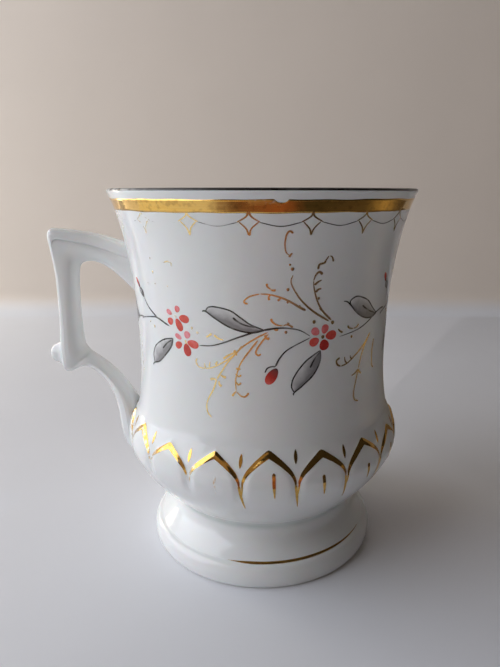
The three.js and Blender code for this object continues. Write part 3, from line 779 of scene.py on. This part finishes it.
# Gold dots: middle and radius.
GOLD_DOTS = (
    (-22.3, 73.6, 0.42), (14.8, 69.5, 0.48), (5.5, 71.3, 0.38), (5.7, 81.4, 0.38), (6.5, 86.1, 0.42),
    (5.9, 87.1, 0.28), (13.1, 79.0, 0.34), (12.3, 73.4, 0.46), (17.3, 72.8, 0.50), (23.7, 68.4, 0.40),
    (-17.5, 71.4, 0.35), (-15.9, 70.4, 0.35), (-28.6, 87.3, 0.32), (-28.6, 83.9, 0.36), (-31.5, 80.8, 0.36),
    (-28.4, 81.2, 0.32), (-23.8, 81.0, 0.26), (-33.1, 70.8, 0.34), (-31.1, 69.8, 0.42),
)


# Each gilded arch as the brush left it: how far it falls short of its petal's point, then how far across
# from the petal's middle and how high its vein begins and ends. The nine are repeated on the other half.
ARCHES = (
    (0.0, (1.0, 37.7), (1.3, 30.5)),
    (0.9, (-0.2, 36.0), (0.5, 29.9)),
    (1.0, (0.6, 35.0), (1.4, 30.0)),
    (1.6, (0.3, 35.6), (0.9, 30.2)),
    (0.9, (0.7, 36.6), (1.0, 30.4)),
    (0.5, (0.0, 37.2), (0.6, 30.3)),
    (0.4, (0.8, 36.2), (1.1, 30.6)),
    (1.2, (0.4, 35.4), (0.8, 30.1)),
    (0.8, (0.5, 36.3), (0.6, 31.2)),
)


def handle_side(angle, start, full):
    """How far an angle from the front is on the handle's side, where hands rub: 0 at start and 1 at full."""
    turned = math.degrees((-angle + math.pi) % math.tau - math.pi)
    return smoothstep(turned, start, full) * smoothstep(turned, *RUBBED_SIDE_END)


def hand_wear(most, start, full):
    """The wear of strokes by hands: none up to start and the most from full on, on the handle's side."""
    return lambda spot: most * handle_side(spot.x / TRAIL_RADIUS, start, full)


# Soft lights: name, place, width and height, power in watts, and colour.
LIGHTS = (
    ("window", (-0.80, 0.05, 0.48), (1.7, 1.1), 16.0, "f1f4fc"),
    ("bright_pane", (-0.42, 0.28, 0.16), (0.09, 0.32), 0.4, "fff8e0"),
    ("lit_room", (-0.30, -0.85, 0.40), (0.7, 0.8), 0.5, "ffe0c4"),
)

# Painted reflections and painted shade: tones of the glowing card under the camera from its left to
# its right, at the edge by the mug and farther out.
REFLECTION_CARD_NEAR = (
    (0.240, "dedee0"), (0.27, "a49796"), (0.320, "6b5248"), (0.448, "8e5a44"), (0.512, "3c3830"),
    (0.657, "463e36"), (0.85, "5c5040"),
)
REFLECTION_CARD_FAR = (
    (0.252, "f2f0e0"), (0.293, "e8d4b0"), (0.338, "ba9070"), (0.418, "ae806a"), (0.477, "7c6862"),
    (0.526, "5a4c48"), (0.58, "52463e"), (0.708, "4e463c"), (0.79, "a08c68"), (0.86, "54493a"),
)


class MUG_OT_stage(Operator):
    """Sets up the pale table, the wall behind it, the soft light and the camera"""

    bl_idname = "mug.stage"
    bl_label = "Stage"

    def execute(self, context):
        self.table_and_wall(context.scene.mug_colours)
        self.painted_reflection_card()
        for row in LIGHTS:
            self.light(context, *row)
        self.surroundings(context)
        self.camera(context)
        return {"FINISHED"}

    def table_and_wall(self, colours):
        """A table that curves up into a plain wall, both wide enough to fill every view."""
        depth, reach, wall_height, cove = 0.31, 1.5, 1.5, 0.02
        bm = bmesh.new()
        profile = [(-reach, 0.0)]
        for i in range(ARC_STEPS + 1):
            turned = math.pi / 2 * i / ARC_STEPS
            profile.append((depth - cove * (1 - math.sin(turned)), cove * (1 - math.cos(turned))))
        profile.append((depth, wall_height))
        verts = [bm.verts.new((-reach, y, z)) for y, z in profile]
        edges = [bm.edges.new(pair) for pair in zip(verts, verts[1:])]
        swept = bmesh.ops.extrude_edge_only(bm, edges=edges)["geom"]
        moved = [g for g in swept if isinstance(g, bmesh.types.BMVert)]
        bmesh.ops.translate(bm, verts=moved, vec=(2 * reach, 0.0, 0.0))
        bm.normal_update()
        for face in bm.faces:
            if face.normal.z - face.normal.y < 0:
                face.normal_flip()
        paint = matt_paint(colours.floor, colours.backdrop, 0.8 * cove)
        stage = new_object(bm, "table_and_wall", paint)

    def painted_reflection_card(self):
        """A glowing card under the camera, light on the left, warm in the middle and dark on the right, seen
        only in the gold and the glaze: painted reflections, its dark part painted shade under the camera.
        The rim band mirrors its near part and the wall its far part."""
        near, far, left, right = 0.085, 0.9, math.radians(-100), math.radians(150)
        bm = bmesh.new()
        bm.loops.layers.uv.new("UVMap")
        grid = bmesh.ops.create_grid(bm, x_segments=CARD_STEPS, y_segments=1, size=0.5, calc_uvs=True)
        for vert in grid["verts"]:
            angle = left + (right - left) * (vert.co.x + 0.5)
            radius = near + (far - near) * (vert.co.y + 0.5)
            vert.co = (AXIS_X + radius * math.sin(angle), -radius * math.cos(angle), 0.5 * MM)
        bmesh.ops.recalc_face_normals(bm, faces=bm.faces)
        material, add, _ = new_material("painted_reflection_card")
        across = add("SeparateXYZ", [add("UVMap", uv_map="UVMap")], "X")
        near_tone, far_tone = [
            add("ValToRGB", [across], stops=[(share, linear(tone)) for share, tone in tones])
            for tones in (REFLECTION_CARD_NEAR, REFLECTION_CARD_FAR)
        ]
        farther = add("MapRange", [across.node.outputs["Y"], 0.10, 0.16])
        tone = add("Mix", {0: farther, 6: near_tone, 7: far_tone}, **COLOUR_MIX)
        # The card glows with its painted reflection tones, though it is no lamp.
        card = new_object(bm, "painted_reflection_card", surfaced(material, "Emission", {"Color": tone}))
        card.visible_camera = card.visible_diffuse = card.visible_shadow = False

    def light(self, context, name, place, size, power, hex_colour):
        """A soft rectangular light that looks at the middle of the mug."""
        data = bpy.data.lights.new(name, "AREA")
        data.shape = "RECTANGLE"
        data.size, data.size_y = size
        data.energy = power
        data.color = linear(hex_colour)[:3]
        lamp = bpy.data.objects.new(name, data)
        lamp.location = place
        aim = Vector((AXIS_X, 0.0, MUG_HEIGHT / 2)) - lamp.location
        lamp.rotation_euler = aim.to_track_quat("-Z", "Y").to_euler()
        lamp.visible_camera = False
        context.scene.collection.objects.link(lamp)

    def surroundings(self, context):
        """A dim, warm room all round."""
        world = bpy.data.worlds.new("dim_room")
        world.use_nodes = True
        room = world.node_tree.nodes["Background"].inputs
        room["Color"].default_value = linear("6b645c")
        room["Strength"].default_value = 0.24
        context.scene.world = world

    def camera(self, context):
        """A camera just below the lip's height, looking down a little, at the photograph's distance."""
        distance, height, tilt = 157.0 * MM, 102.5 * MM, 14.51
        axis_pixel, middle_pixel, frame_pixels = 262.2, 250.0, 667.0
        data = bpy.data.cameras.new("camera")
        data.lens = 29.42
        data.sensor_width = 36.0
        data.shift_x = (middle_pixel - axis_pixel) / frame_pixels
        data.clip_start = 0.01
        camera = bpy.data.objects.new("camera", data)
        camera.location = (AXIS_X, -distance, height)
        camera.rotation_euler = (math.radians(90.0 - tilt), 0.0, 0.0)
        context.scene.collection.objects.link(camera)
        context.scene.camera = camera
        context.scene.view_settings.view_transform = "Standard"


class MUG_OT_bowl(Operator):
    """Turns the bowl, raises its petals and glazes it"""

    bl_idname = "mug.bowl"
    bl_label = "Bowl"

    def execute(self, context):
        sizes = context.scene.mug_sizes
        wall = Wall(sizes)
        bm = turn(self.profile(wall, sizes), sizes.petal_count * STEPS_PER_PETAL)
        for vert in bm.verts:
            radius, height = vert.co.xy.length, vert.co.z
            if height < sizes.shoulder_height and radius > wall.radius(height) - sizes.wall / 2:
                vert.co.xy = vert.co.xy * (1 + wall.relief(front_angle(vert), height) / radius)
        add_turned(bm, "glazed_bowl", glazed_porcelain(context.scene.mug_colours), ["bowl"])
        return {"FINISHED"}

    def profile(self, wall, sizes):
        """Underside, outside, rounded lip, inside and floor."""
        floor = BOWL_BASE + sizes.floor_thickness
        corner = floor + sizes.floor_round
        petal_foot = sizes.petal_apex - sizes.petal_arch - sizes.petal_fade
        outside = [
            *rows(BOWL_BASE, petal_foot, MIDDLE_ROW),
            *rows(petal_foot, sizes.shoulder_height, FINE_ROW),
            *rows(sizes.shoulder_height, sizes.flare_height, COARSE_ROW),
            *rows(sizes.flare_height, wall.lip_edge, FINE_ROW),
        ]
        lip = [wall.lip(math.pi * i / ARC_STEPS, 0.0) for i in range(ARC_STEPS + 1)]
        inside = rows(wall.lip_edge, corner, COARSE_ROW)[1:]
        bend = []
        for i in range(CURVE_STEPS + 1):
            t = i / CURVE_STEPS
            pull = 2 * t * (1 - t)
            radius = wall.inside(corner) * (1 - t) ** 2 + wall.inside(floor) * pull
            radius += (wall.inside(floor) - sizes.floor_round) * t * t
            bend.append((radius, corner * (1 - t) ** 2 + floor * (pull + t * t)))
        return [
            (0.0, BOWL_BASE),
            *[(wall.radius(z), z) for z in outside],
            *lip,
            *[(wall.inside(z), z) for z in inside],
            *bend,
            (bend[-1][0] / 2, floor),
            (0.0, floor),
        ]


class MUG_OT_foot(Operator):
    """Turns the hollow pedestal foot, up to the bowl's underside"""

    bl_idname = "mug.foot"
    bl_label = "Pedestal foot"

    def execute(self, context):
        sizes = context.scene.mug_sizes
        bm = turn(self.profile(Wall(sizes), sizes), FOOT_STEPS, closed=True)
        material = bpy.data.materials["glazed_porcelain"]
        add_turned(bm, "glazed_foot", material, ["pedestal_foot", "foot_slip_joint"])
        return {"FINISHED"}

    def profile(self, wall, sizes):
        """Plinth, cove, glaze-filled neck, recess and standing ring."""
        full = sizes.plinth_fullness
        plinth = self.curve((sizes.base_radius, 0.0), (full, 0.0), (full, 1.02 * LINE_LOW.z), PLINTH_END)
        neck = sizes.neck_radius - sizes.neck_step
        throat = FOOT_TOP - sizes.neck_fillet
        cove_foot, crown = COVE_END
        cove = self.curve(
            COVE_END,
            ((cove_foot + 2 * neck) / 3, crown + (throat - crown) * 0.33),
            (neck, crown + (throat - crown) * 0.66),
            (neck, throat),
        )
        brim = BOWL_BASE + sizes.neck_fillet
        reach = wall.radius(brim) + 0.02 * MM
        pull = 0.9 * sizes.neck_fillet
        fillet = self.curve(
            (neck, throat), (neck, throat + pull), (reach - NECK_SLOPE * pull, brim - pull), (reach, brim)
        )
        # The fillet's edge turns in under the bowl's glaze.
        tucked = [(reach - 1.5 * MM, brim - 0.3 * MM), (neck - MM, BOWL_BASE)]
        hollow = neck - sizes.foot_wall
        ring = sizes.base_radius - sizes.standing_ring
        recess = self.curve(
            (hollow, BOWL_BASE), (hollow, BOWL_BASE / 2), ((hollow + ring) / 2, BOWL_BASE / 4), (ring, 0.0)
        )
        return [*plinth, *cove, *fillet[1:], *tucked, *recess]

    def curve(self, *corners):
        """Points of a cubic curve from its start by two guiding corners to its end."""
        points = []
        for t in (i / (2 * CURVE_STEPS) for i in range(2 * CURVE_STEPS + 1)):
            shares = ((1 - t) ** 3, 3 * t * (1 - t) ** 2, 3 * t * t * (1 - t), t ** 3)
            points.append(tuple(sum(s * c[k] for s, c in zip(shares, corners)) for k in (0, 1)))
        return points


# The handle's edges in millimetres, reach from the mug's axis and height: outside, then inside, at each
# station from the root of the upper arm round the grip to the tail of the lower leg.
HANDLE_STATIONS = (
    ((36.3, 88.0), (34.2, 73.0)),
    ((37.2, 88.4), (36.7, 75.2)),
    ((41.9, 89.9), (40.5, 79.0)),
    ((47.0, 91.4), (44.4, 82.2)),
    ((53.0, 92.3), (48.4, 83.9)),
    ((58.4, 92.8), (51.2, 83.6)),
    ((60.0, 92.6), (52.2, 83.0)),
    ((60.6, 91.2), (52.9, 81.8)),
    ((60.0, 88.1), (53.3, 78.4)),
    ((59.2, 81.8), (53.5, 74.0)),
    ((59.0, 75.3), (53.6, 68.4)),
    ((59.2, 66.5), (53.5, 62.5)),
    ((59.8, 58.0), (53.3, 59.6)),
    ((59.6, 53.6), (52.9, 58.2)),
    ((59.0, 51.0), (52.2, 57.3)),
    ((57.6, 50.4), (51.3, 56.6)),
    ((56.0, 51.2), (50.1, 55.8)),
    ((53.4, 52.1), (48.6, 54.9)),
    ((50.6, 50.9), (46.6, 53.2)),
    ((48.0, 48.3), (44.0, 50.8)),
    ((46.1, 45.4), (41.6, 48.0)),
    ((44.8, 42.2), (39.7, 45.2)),
    ((44.0, 38.5), (37.5, 41.2)),
    ((43.6, 34.8), (36.5, 35.5)),
    ((43.0, 30.9), (36.7, 30.2)),
    ((41.8, 27.4), (35.7, 27.3)),
    ((38.8, 25.2), (34.0, 25.6)),
)

# The knob: how far each ring is beyond the grip's outside and its radius, in millimetres.
KNOB_REACH, KNOB_HEIGHT = 59.2, 56.0
KNOB_RINGS = (
    (-1.6, 0.0), (-1.5, 4.8), (-0.2, 4.6), (0.5, 4.0), (1.1, 3.4),
    (2.0, 2.95), (3.0, 2.5), (3.8, 1.6), (4.1, 0.0),
)


class MUG_OT_handle(Operator):
    """Lofts the faceted handle along its edges and adds the knob under the grip"""

    bl_idname = "mug.handle"
    bl_label = "Handle"

    def execute(self, context):
        sizes = context.scene.mug_sizes
        outer, inner = [smooth_line(flat(edge), 2) for edge in zip(*HANDLE_STATIONS)]
        bm = bmesh.new()
        last = len(outer) - 1
        around = len(self.section(1.0, 1.0, 1.0, 0.0, 0.0))
        grid = bmesh.ops.create_grid(bm, x_segments=last, y_segments=around, size=0.5)
        for vert in grid["verts"]:
            i, j = round((vert.co.x + 0.5) * last), round((vert.co.y + 0.5) * around)
            inward = inner[i] - outer[i]
            thickness = sizes.handle_thickness * self.flare(i / last)
            step, side = self.section(inward.length, thickness, *self.border(i / last))[j % around]
            spot = outer[i] + inward.normalized() * step
            vert.co = (AXIS_X - spot.x, side, spot.y)
        bmesh.ops.remove_doubles(bm, verts=bm.verts, dist=WELD)
        # The arm's end stays sharp, so that smoothing doesn't pull it out of the wall.
        crease = bm.edges.layers.float.new("crease_edge")
        ends = [edge for edge in bm.edges if edge.is_boundary]
        for edge in ends:
            if edge.verts[0].co.z > sizes.waist_height:
                edge[crease] = 1.0
        bmesh.ops.holes_fill(bm, edges=ends, sides=0)
        bmesh.ops.recalc_face_normals(bm, faces=bm.faces)
        self.knob(bm)
        material = bpy.data.materials["glazed_porcelain"]
        nodes = ["handle", "handle_upper_slip_joint", "handle_lower_slip_joint"]
        piece = add_piece(bm, "glazed_handle", material, nodes)
        soft = piece.modifiers.new("soft_edges", "SUBSURF")
        soft.levels = soft.render_levels = 2
        return {"FINISHED"}

    def flare(self, share):
        """How much thicker the handle is at its two roots, and thinner where the leg leaves the grip."""
        roots = 0.22 * smoothstep(share, 0.13, 0.03) + 0.15 * smoothstep(share, 0.8, 0.93)
        sunk = 0.16 * smoothstep(share, 0.50, 0.58) * smoothstep(share, 0.9, 0.7)
        dent = 0.10 * math.exp(-(((share - 0.57) / 0.025) ** 2))
        return 1 + roots - sunk - dent

    def border(self, share):
        """Width of the bevelled border, broad along the arm, depth of the groove beside it, and how round
        the section is: 0 on the faceted arm and grip, 1 on the leg."""
        bevel = 3.0 - 1.4 * smoothstep(share, 0.18, 0.34) + 0.6 * smoothstep(share, 0.56, 0.66)
        groove = 1.1 - 0.98 * smoothstep(share, 0.2, 0.3)
        groove *= smoothstep(share, 0.02, 0.08) * smoothstep(share, 0.6, 0.5)
        return bevel * MM, groove * MM, smoothstep(share, 0.54, 0.66)

    def section(self, width, thickness, bevel, groove, roundness):
        """The bevelled section: how far in from the outer edge and how far to the side, all the way round.
        The outer bevel is out wide and falls by deep, the inner one is into wide and ends at the brim, and
        the corners are cut by soft."""
        half = thickness / 2
        out = min(bevel, 0.45 * width)
        deep = (1.3 + 0.6 * roundness) * MM
        into = min((2.5 - 0.3 * roundness) * MM, 0.42 * width)
        soft = (1.2 + 0.4 * roundness) * MM
        brim = width + 0.5 * (1 - roundness) * MM
        face = width - into - out
        valley = [
            (out + min(0.5 * MM, 0.2 * face), half - groove),
            (out + min(1.6 * MM, 0.5 * face), half - groove / 4),
        ]
        corners = [(0.0, half - deep), (out, half), (width - into, half), (brim, half - into)]
        loop = [*corners, *self.mirrored(corners)]
        # The valley follows the second corner of the front, and its mirror image the same place behind.
        valleys = {1: valley, 5: self.mirrored(valley)}
        points = []
        for k, here in enumerate(loop):
            for other in (loop[k - 1], loop[(k + 1) % len(loop)]):
                away = math.hypot(other[0] - here[0], other[1] - here[1])
                share = min(soft / away, 0.3)
                points.append(tuple(h + (o - h) * share for h, o in zip(here, other)))
            points += valleys.get(k, [])
        return points

    def mirrored(self, points):
        """The same points on the other face of the handle, in turn back to the first."""
        return [(step, -side) for step, side in reversed(points)]

    def knob(self, bm):
        """A button on the outside of the grip, with a hollow neck, a little narrower than it is high."""
        last, flatness = len(KNOB_RINGS) - 1, 0.65
        grid = bmesh.ops.create_grid(bm, x_segments=last, y_segments=KNOB_STEPS, size=0.5)
        for vert in grid["verts"]:
            beyond, radius = KNOB_RINGS[round((vert.co.x + 0.5) * last)]
            angle = math.tau * (vert.co.y + 0.5)
            side, rise = flatness * radius * math.sin(angle), radius * math.cos(angle)
            vert.co = (AXIS_X - (KNOB_REACH + beyond) * MM, side * MM, (KNOB_HEIGHT + rise) * MM)
        bmesh.ops.remove_doubles(bm, verts=grid["verts"], dist=WELD)
        bmesh.ops.recalc_face_normals(bm, faces=bm.faces)


class MUG_OT_bands(Operator):
    """Lays the gold band, the dark lip line and the worn gold line of the foot"""

    bl_idname = "mug.bands"
    bl_label = "Bands"

    def execute(self, context):
        sizes, colours = context.scene.mug_sizes, context.scene.mug_colours
        wall = Wall(sizes)
        steps = sizes.petal_count * STEPS_PER_PETAL
        self.rim_band(wall, sizes, colours, steps)
        self.lip_line(wall, sizes, colours, steps)
        self.foot_line(sizes, colours)
        return {"FINISHED"}

    def rim_band(self, wall, sizes, colours, steps):
        """The broad band under the lip, brushed on by hand and nicked by wear."""
        lift, low = sizes.gilt_thickness, BAND_LOW.z - 0.2 * MM
        heights = [*rows(low, BAND_HIGH.z, FINE_ROW), BAND_HIGH.z]
        outside = [(wall.radius(z) + lift, z) for z in heights]
        inside = [(wall.radius(z) - lift, z) for z in reversed(heights)]
        bm = turn(outside + inside, steps, closed=True)
        rub = bm.verts.layers.float.new("shade")
        middle = (low + BAND_HIGH.z) / 2
        nick_angle, nick_width, nick_depth = math.radians(5.7), math.radians(2.0), 0.75 * MM
        for vert in bm.verts:
            angle = front_angle(vert)
            waver = 0.05 * MM * (math.sin(9 * angle + 1.0) + math.sin(23 * angle))
            nick = nick_depth * max(0.0, 1 - ((angle - nick_angle) / nick_width) ** 2) ** 0.5
            share = (vert.co.z - middle) / (BAND_HIGH.z - middle)
            beside = smoothstep(math.degrees(angle), -6, -3) * smoothstep(math.degrees(angle), 6.5, 5)
            vert[rub] = 0.45 * beside * smoothstep(share, -0.2, 0.4)
            moved = vert.co.z + waver * share - max(share, 0.0) * nick
            side = vert.co.xy.length - wall.radius(vert.co.z)
            vert.co.xy = vert.co.xy.normalized() * (wall.radius(moved) + side)
            vert.co.z = moved
        gold = fired_gold(colours, "fired_gold_band", -75 * MM, -10 * MM, colours.gold_deep, colours.gold)
        add_turned(bm, "gold_rim_band", gold, ["rim_gold_band"])

    def lip_line(self, wall, sizes, colours, steps):
        """The thin dark line over the crest of the lip, rubbed by the handle."""
        lift = sizes.enamel_thickness * 0.9
        turns = [math.radians(degrees) for degrees in LIP_LINE_DEGREES]
        over = [wall.lip(turned, lift) for turned in turns]
        under = [wall.lip(turned, -2 * lift) for turned in reversed(turns)]
        bm = turn(over + under, steps, closed=True)
        rub = bm.verts.layers.float.new("shade")
        for vert in bm.verts:
            vert[rub] = 0.8 * handle_side(front_angle(vert), 30, 70)
        enamel = line_enamel("lip_enamel", colours.lip, colours.porcelain, 0.08)
        add_turned(bm, "lip_line_enamel", enamel, ["lip_line"])

    def foot_line(self, sizes, colours):
        """The thin line between the foot's cove and its plinth, of which only two arcs are left. Its gold is
        darkened to brown, partly dirt and partly painted dark reflection.
        """
        low, high = Vector(PLINTH_END), Vector(COVE_END)
        outward = Vector((high.y - low.y, low.x - high.x)).normalized() * sizes.gilt_thickness
        middle, side = low.lerp(high, 0.5), (high - low) * 0.42
        top, underside = middle + outward, middle - outward
        bm = turn([top - side, top + side, underside + side, underside - side], FOOT_STEPS, closed=True)
        rub = bm.verts.layers.float.new("shade")
        for vert in bm.verts:
            angle = math.degrees(front_angle(vert))
            front = smoothstep(angle, -19, -4) * smoothstep(angle, 74, 24)
            left = max(front, smoothstep(abs(angle), 120, 150))
            section = Vector((vert.co.xy.length, vert.co.z))
            radius, vert.co.z = middle.lerp(section, 0.1 + 0.9 * left)
            vert.co.xy = vert.co.xy.normalized() * radius
            vert[rub] = 1 - smoothstep(left, 0.0, 0.3)
        # Painted dark reflection, partly dirt: the line's gold runs from dark brown to deep gold.
        gold = fired_gold(colours, "worn_gold_line", -60 * MM, -10 * MM, colours.soil_and_dark_reflection, colours.gold_deep)
        add_turned(bm, "gold_foot_line", gold, ["foot_gold_line"])


class MUG_OT_swags(Operator):
    """Draws the swags that hang from the band and the four-pointed stars between them"""

    bl_idname = "mug.swags"
    bl_label = "Swags and stars"

    def execute(self, context):
        sizes, colours = context.scene.mug_sizes, context.scene.mug_colours
        wall = Wall(sizes)
        swags = Painter(wall, sizes.enamel_thickness)
        stars = Painter(wall, sizes.gilt_thickness)
        ink_wear, star_wear = hand_wear(0.8, 0, 30), hand_wear(0.3, 15, 50)
        hand = random.Random(SWAG_SEED)
        pitch = math.tau / sizes.petal_count
        half = pitch * TRAIL_RADIUS / MM / 2
        for i in range(sizes.petal_count):
            angle = math.radians(-4.2) + i * pitch
            swag = ((2.0, 96.4), (half, 95.5), (2 * half - 2.0, 96.4))
            swags.stroke(drawn(swag, angle), (0.2, 0.2), wear=ink_wear)
            for side in (-1, 1):
                slip, sag = hand.uniform(-0.15, 0.15), hand.uniform(-0.3, 0.3)
                upper = ((slip, 98.6), (side * 0.5 + slip, 97.5), (side * 2.4, 96.3))
                lower = ((side * 1.9 + slip, 96.5), (side * 0.5, 95.0), (slip, 93.5 + sag))
                stars.stroke(drawn(upper, angle), (0.5, 0.22), wear=star_wear)
                stars.stroke(drawn(lower, angle), (0.25, 0.42), wear=star_wear)
        ink = line_enamel("ink_enamel", colours.ink, colours.porcelain, 0.3)
        swags.finish("ink_swags", ink, "dark_enamel")
        gold = fired_gold(colours, "thin_gold", *HAND_WORN, colours.thin_gold_deep, colours.thin_gold)
        stars.finish("gold_stars", gold, "gold")
        return {"FINISHED"}


class MUG_OT_arches(Operator):
    """Gilds the pointed arch of every petal, with its tail, its dash and its vein"""

    bl_idname = "mug.arches"
    bl_label = "Gilded arches"

    def execute(self, context):
        sizes, colours = context.scene.mug_sizes, context.scene.mug_colours
        painter = Painter(Wall(sizes), 2 * sizes.gilt_thickness)
        vein_wear = hand_wear(0.56, 3, 16)
        hand = random.Random(ARCH_SEED)
        pitch = math.tau / sizes.petal_count
        half = pitch * TRAIL_RADIUS / MM / 2
        foot = (sizes.petal_apex - sizes.petal_arch) / MM
        for i in range(sizes.petal_count):
            angle = sizes.petal_phase + i * pitch
            short, vein_top, vein_end = ARCHES[i % len(ARCHES)]
            apex = sizes.petal_apex / MM - short
            left, right = [drawn(self.leg(side, half, apex, foot), angle) for side in (-1, 1)]
            bold = hand.uniform(0.88, 1.05)
            widths = [bold * w for w in (0.42, 0.65, 1.05, 1.3, 1.55, 1.3, 1.05, 0.65, 0.42)]
            painter.stroke([*reversed(left), *right[1:]], widths, wear=self.wear)
            lean = hand.uniform(0.2, 0.7)
            tail = ((half - 0.4, foot + 0.3), (half + 0.1, foot - 3.5), (half + 0.2 + lean, foot - 7.6))
            painter.stroke(drawn(tail, angle), (0.6, 0.6, 0.15), wear=self.wear)
            twin = ((half + 0.4, foot + 0.3), (half + 0.3, foot - 1.5), (half + 0.15, foot - 3.2))
            painter.stroke(drawn(twin, angle), (0.45, 0.2), wear=self.wear)
            dash = ((half, apex + 0.4), (half - 0.1, apex - 1.2), (half - 0.2, apex - 2.9))
            painter.stroke(drawn(dash, angle), (0.8, 0.8), pointed=True)
            if handle_side(angle, 15, 35) < 0.5:
                middle = ((vein_top[0] + vein_end[0]) / 2 - 0.1, (vein_top[1] + vein_end[1]) / 2)
                vein = drawn((vein_top, middle, vein_end), angle)
                painter.stroke(vein, (0.8, 0.7, 0.2), wear=vein_wear)
        gold = fired_gold(colours, "fired_gold", *HAND_WORN, colours.arch_gold_deep, colours.arch_gold)
        painter.finish("gold_arches", gold, "gold")
        return {"FINISHED"}

    def leg(self, side, half, apex, foot):
        """One side of an arch from its point down to its foot, a little inside the petal's border."""
        leg = []
        for share in (0.0, 0.12, 0.3, 0.55, 0.8, 1.0):
            spread = half * (1 - (1 - share) ** ARCH_FULLNESS) - 0.35 * min(1.0, 5 * share)
            leg.append((side * spread, apex - 0.3 + (foot - apex) * share))
        return leg

    def wear(self, spot):
        """Hands have rubbed the gold away on the handle's side, and most of all under the bulge."""
        return handle_side(spot.x / TRAIL_RADIUS, 5, 22) * smoothstep(spot.y, 40 * MM, 27 * MM)


class MUG_OT_trail(Operator):
    """Paints the flowering trail: stems, leaves, flowers and buds"""

    bl_idname = "mug.trail"
    bl_label = "Flowering trail"

    def execute(self, context):
        sizes, colours = context.scene.mug_sizes, context.scene.mug_colours
        wall = Wall(sizes)
        self.stems(sizes, Painter(wall, 1.3 * sizes.enamel_thickness))
        self.leaves(colours, Painter(wall, sizes.enamel_thickness))
        self.flowers(colours, Painter(wall, sizes.enamel_thickness))
        return {"FINISHED"}

    def stems(self, sizes, painter):
        """Stems, sepals, and the outline and vein of every leaf."""
        width = sizes.stem_width / MM
        for spray in SPRAYS:
            for points in STEMS:
                painter.stroke(drawn(points, *spray), (0.6 * width, 1.4 * width))
            for points in SEPALS:
                painter.stroke(drawn(points, *spray), (width, width))
            for pale_edge, dark_edge, vein, tail in LEAVES:
                painter.stroke(drawn(pale_edge, *spray), (width, width))
                painter.stroke(drawn((*dark_edge, *tail), *spray), (1.2 * width, 1.0 * width))
                painter.stroke(drawn(vein, *spray), (0.9 * width, 1.5 * width))
        painter.finish("ink_stems", bpy.data.materials["ink_enamel"], "dark_enamel")

    def leaves(self, colours, painter):
        """The grey wash inside every leaf."""
        for spray in SPRAYS:
            for pale_edge, dark_edge, _, _ in LEAVES:
                painter.leaf(drawn(pale_edge, *spray), drawn(dark_edge, *spray))
        painter.finish("washed_leaves", leaf_enamel(colours), "leaf_enamel")

    def flowers(self, colours, painter):
        """Five dabs for every flower and one for every bud."""
        calyx_shade, tip_shade = 1.7, 0.5
        for spray in SPRAYS:
            for heart, petals in FLOWERS:
                centre = flat([heart], *spray)[0]
                for x, z, half_length, half_width, shade in petals:
                    middle = flat([(x, z)], *spray)[0]
                    tip = middle + (middle - centre).normalized() * half_length * MM
                    painter.dab(middle, tip, half_width * MM, shade, shade)
            for calyx, tip, half_width in BUDS:
                low, high = flat([calyx, tip], *spray)
                painter.dab((low + high) / 2, high, half_width * MM, calyx_shade, tip_shade)
        painter.finish("rose_flowers", rose_enamel(colours), "rose_enamel")


class MUG_OT_scrolls(Operator):
    """Draws the gold scrolls and dots round the trail"""

    bl_idname = "mug.scrolls"
    bl_label = "Gold scrolls"

    def execute(self, context):
        sizes = context.scene.mug_sizes
        painter = Painter(Wall(sizes), 1.5 * sizes.gilt_thickness)
        wear = hand_wear(0.3, 12, 32)
        for spray in SPRAYS:
            for start, end, points in SCROLLS:
                painter.stroke(drawn(points, *spray), (start, end), wear=wear)
            for x, z, radius in GOLD_DOTS:
                middle = flat([(x, z)], *spray)[0]
                rubbed = wear(middle)
                painter.dab(middle, middle + Vector((0.0, radius * MM)), 0.9 * radius * MM, rubbed, rubbed)
        painter.finish("gold_scrolls", bpy.data.materials["thin_gold"], "gold")
        return {"FINISHED"}


OPERATORS = (
    MUG_OT_stage,
    MUG_OT_bowl,
    MUG_OT_foot,
    MUG_OT_handle,
    MUG_OT_bands,
    MUG_OT_swags,
    MUG_OT_arches,
    MUG_OT_trail,
    MUG_OT_scrolls,
)


class MUG_PT_pieces(Panel):
    """Lists the steps that make the mug"""

    bl_idname = "MUG_PT_pieces"
    bl_label = "Porcelain mug"
    bl_space_type = "VIEW_3D"
    bl_region_type = "UI"
    bl_category = "Mug"

    def draw(self, context):
        for operator in OPERATORS:
            self.layout.operator(operator.bl_idname)


CLASSES = (MugSizes, MugColours, *OPERATORS, MUG_PT_pieces)


def register():
    for item in CLASSES:
        bpy.utils.register_class(item)
    bpy.types.Scene.mug_sizes = PointerProperty(type=MugSizes)
    bpy.types.Scene.mug_colours = PointerProperty(type=MugColours)


def unregister():
    del bpy.types.Scene.mug_colours
    del bpy.types.Scene.mug_sizes
    for item in reversed(CLASSES):
        bpy.utils.unregister_class(item)


def main():
    """Makes every piece."""
    register()
    bpy.ops.mug.stage()
    bpy.ops.mug.bowl()
    bpy.ops.mug.foot()
    bpy.ops.mug.handle()
    bpy.ops.mug.bands()
    bpy.ops.mug.swags()
    bpy.ops.mug.arches()
    bpy.ops.mug.trail()
    bpy.ops.mug.scrolls()


if __name__ == "__main__":
    main()
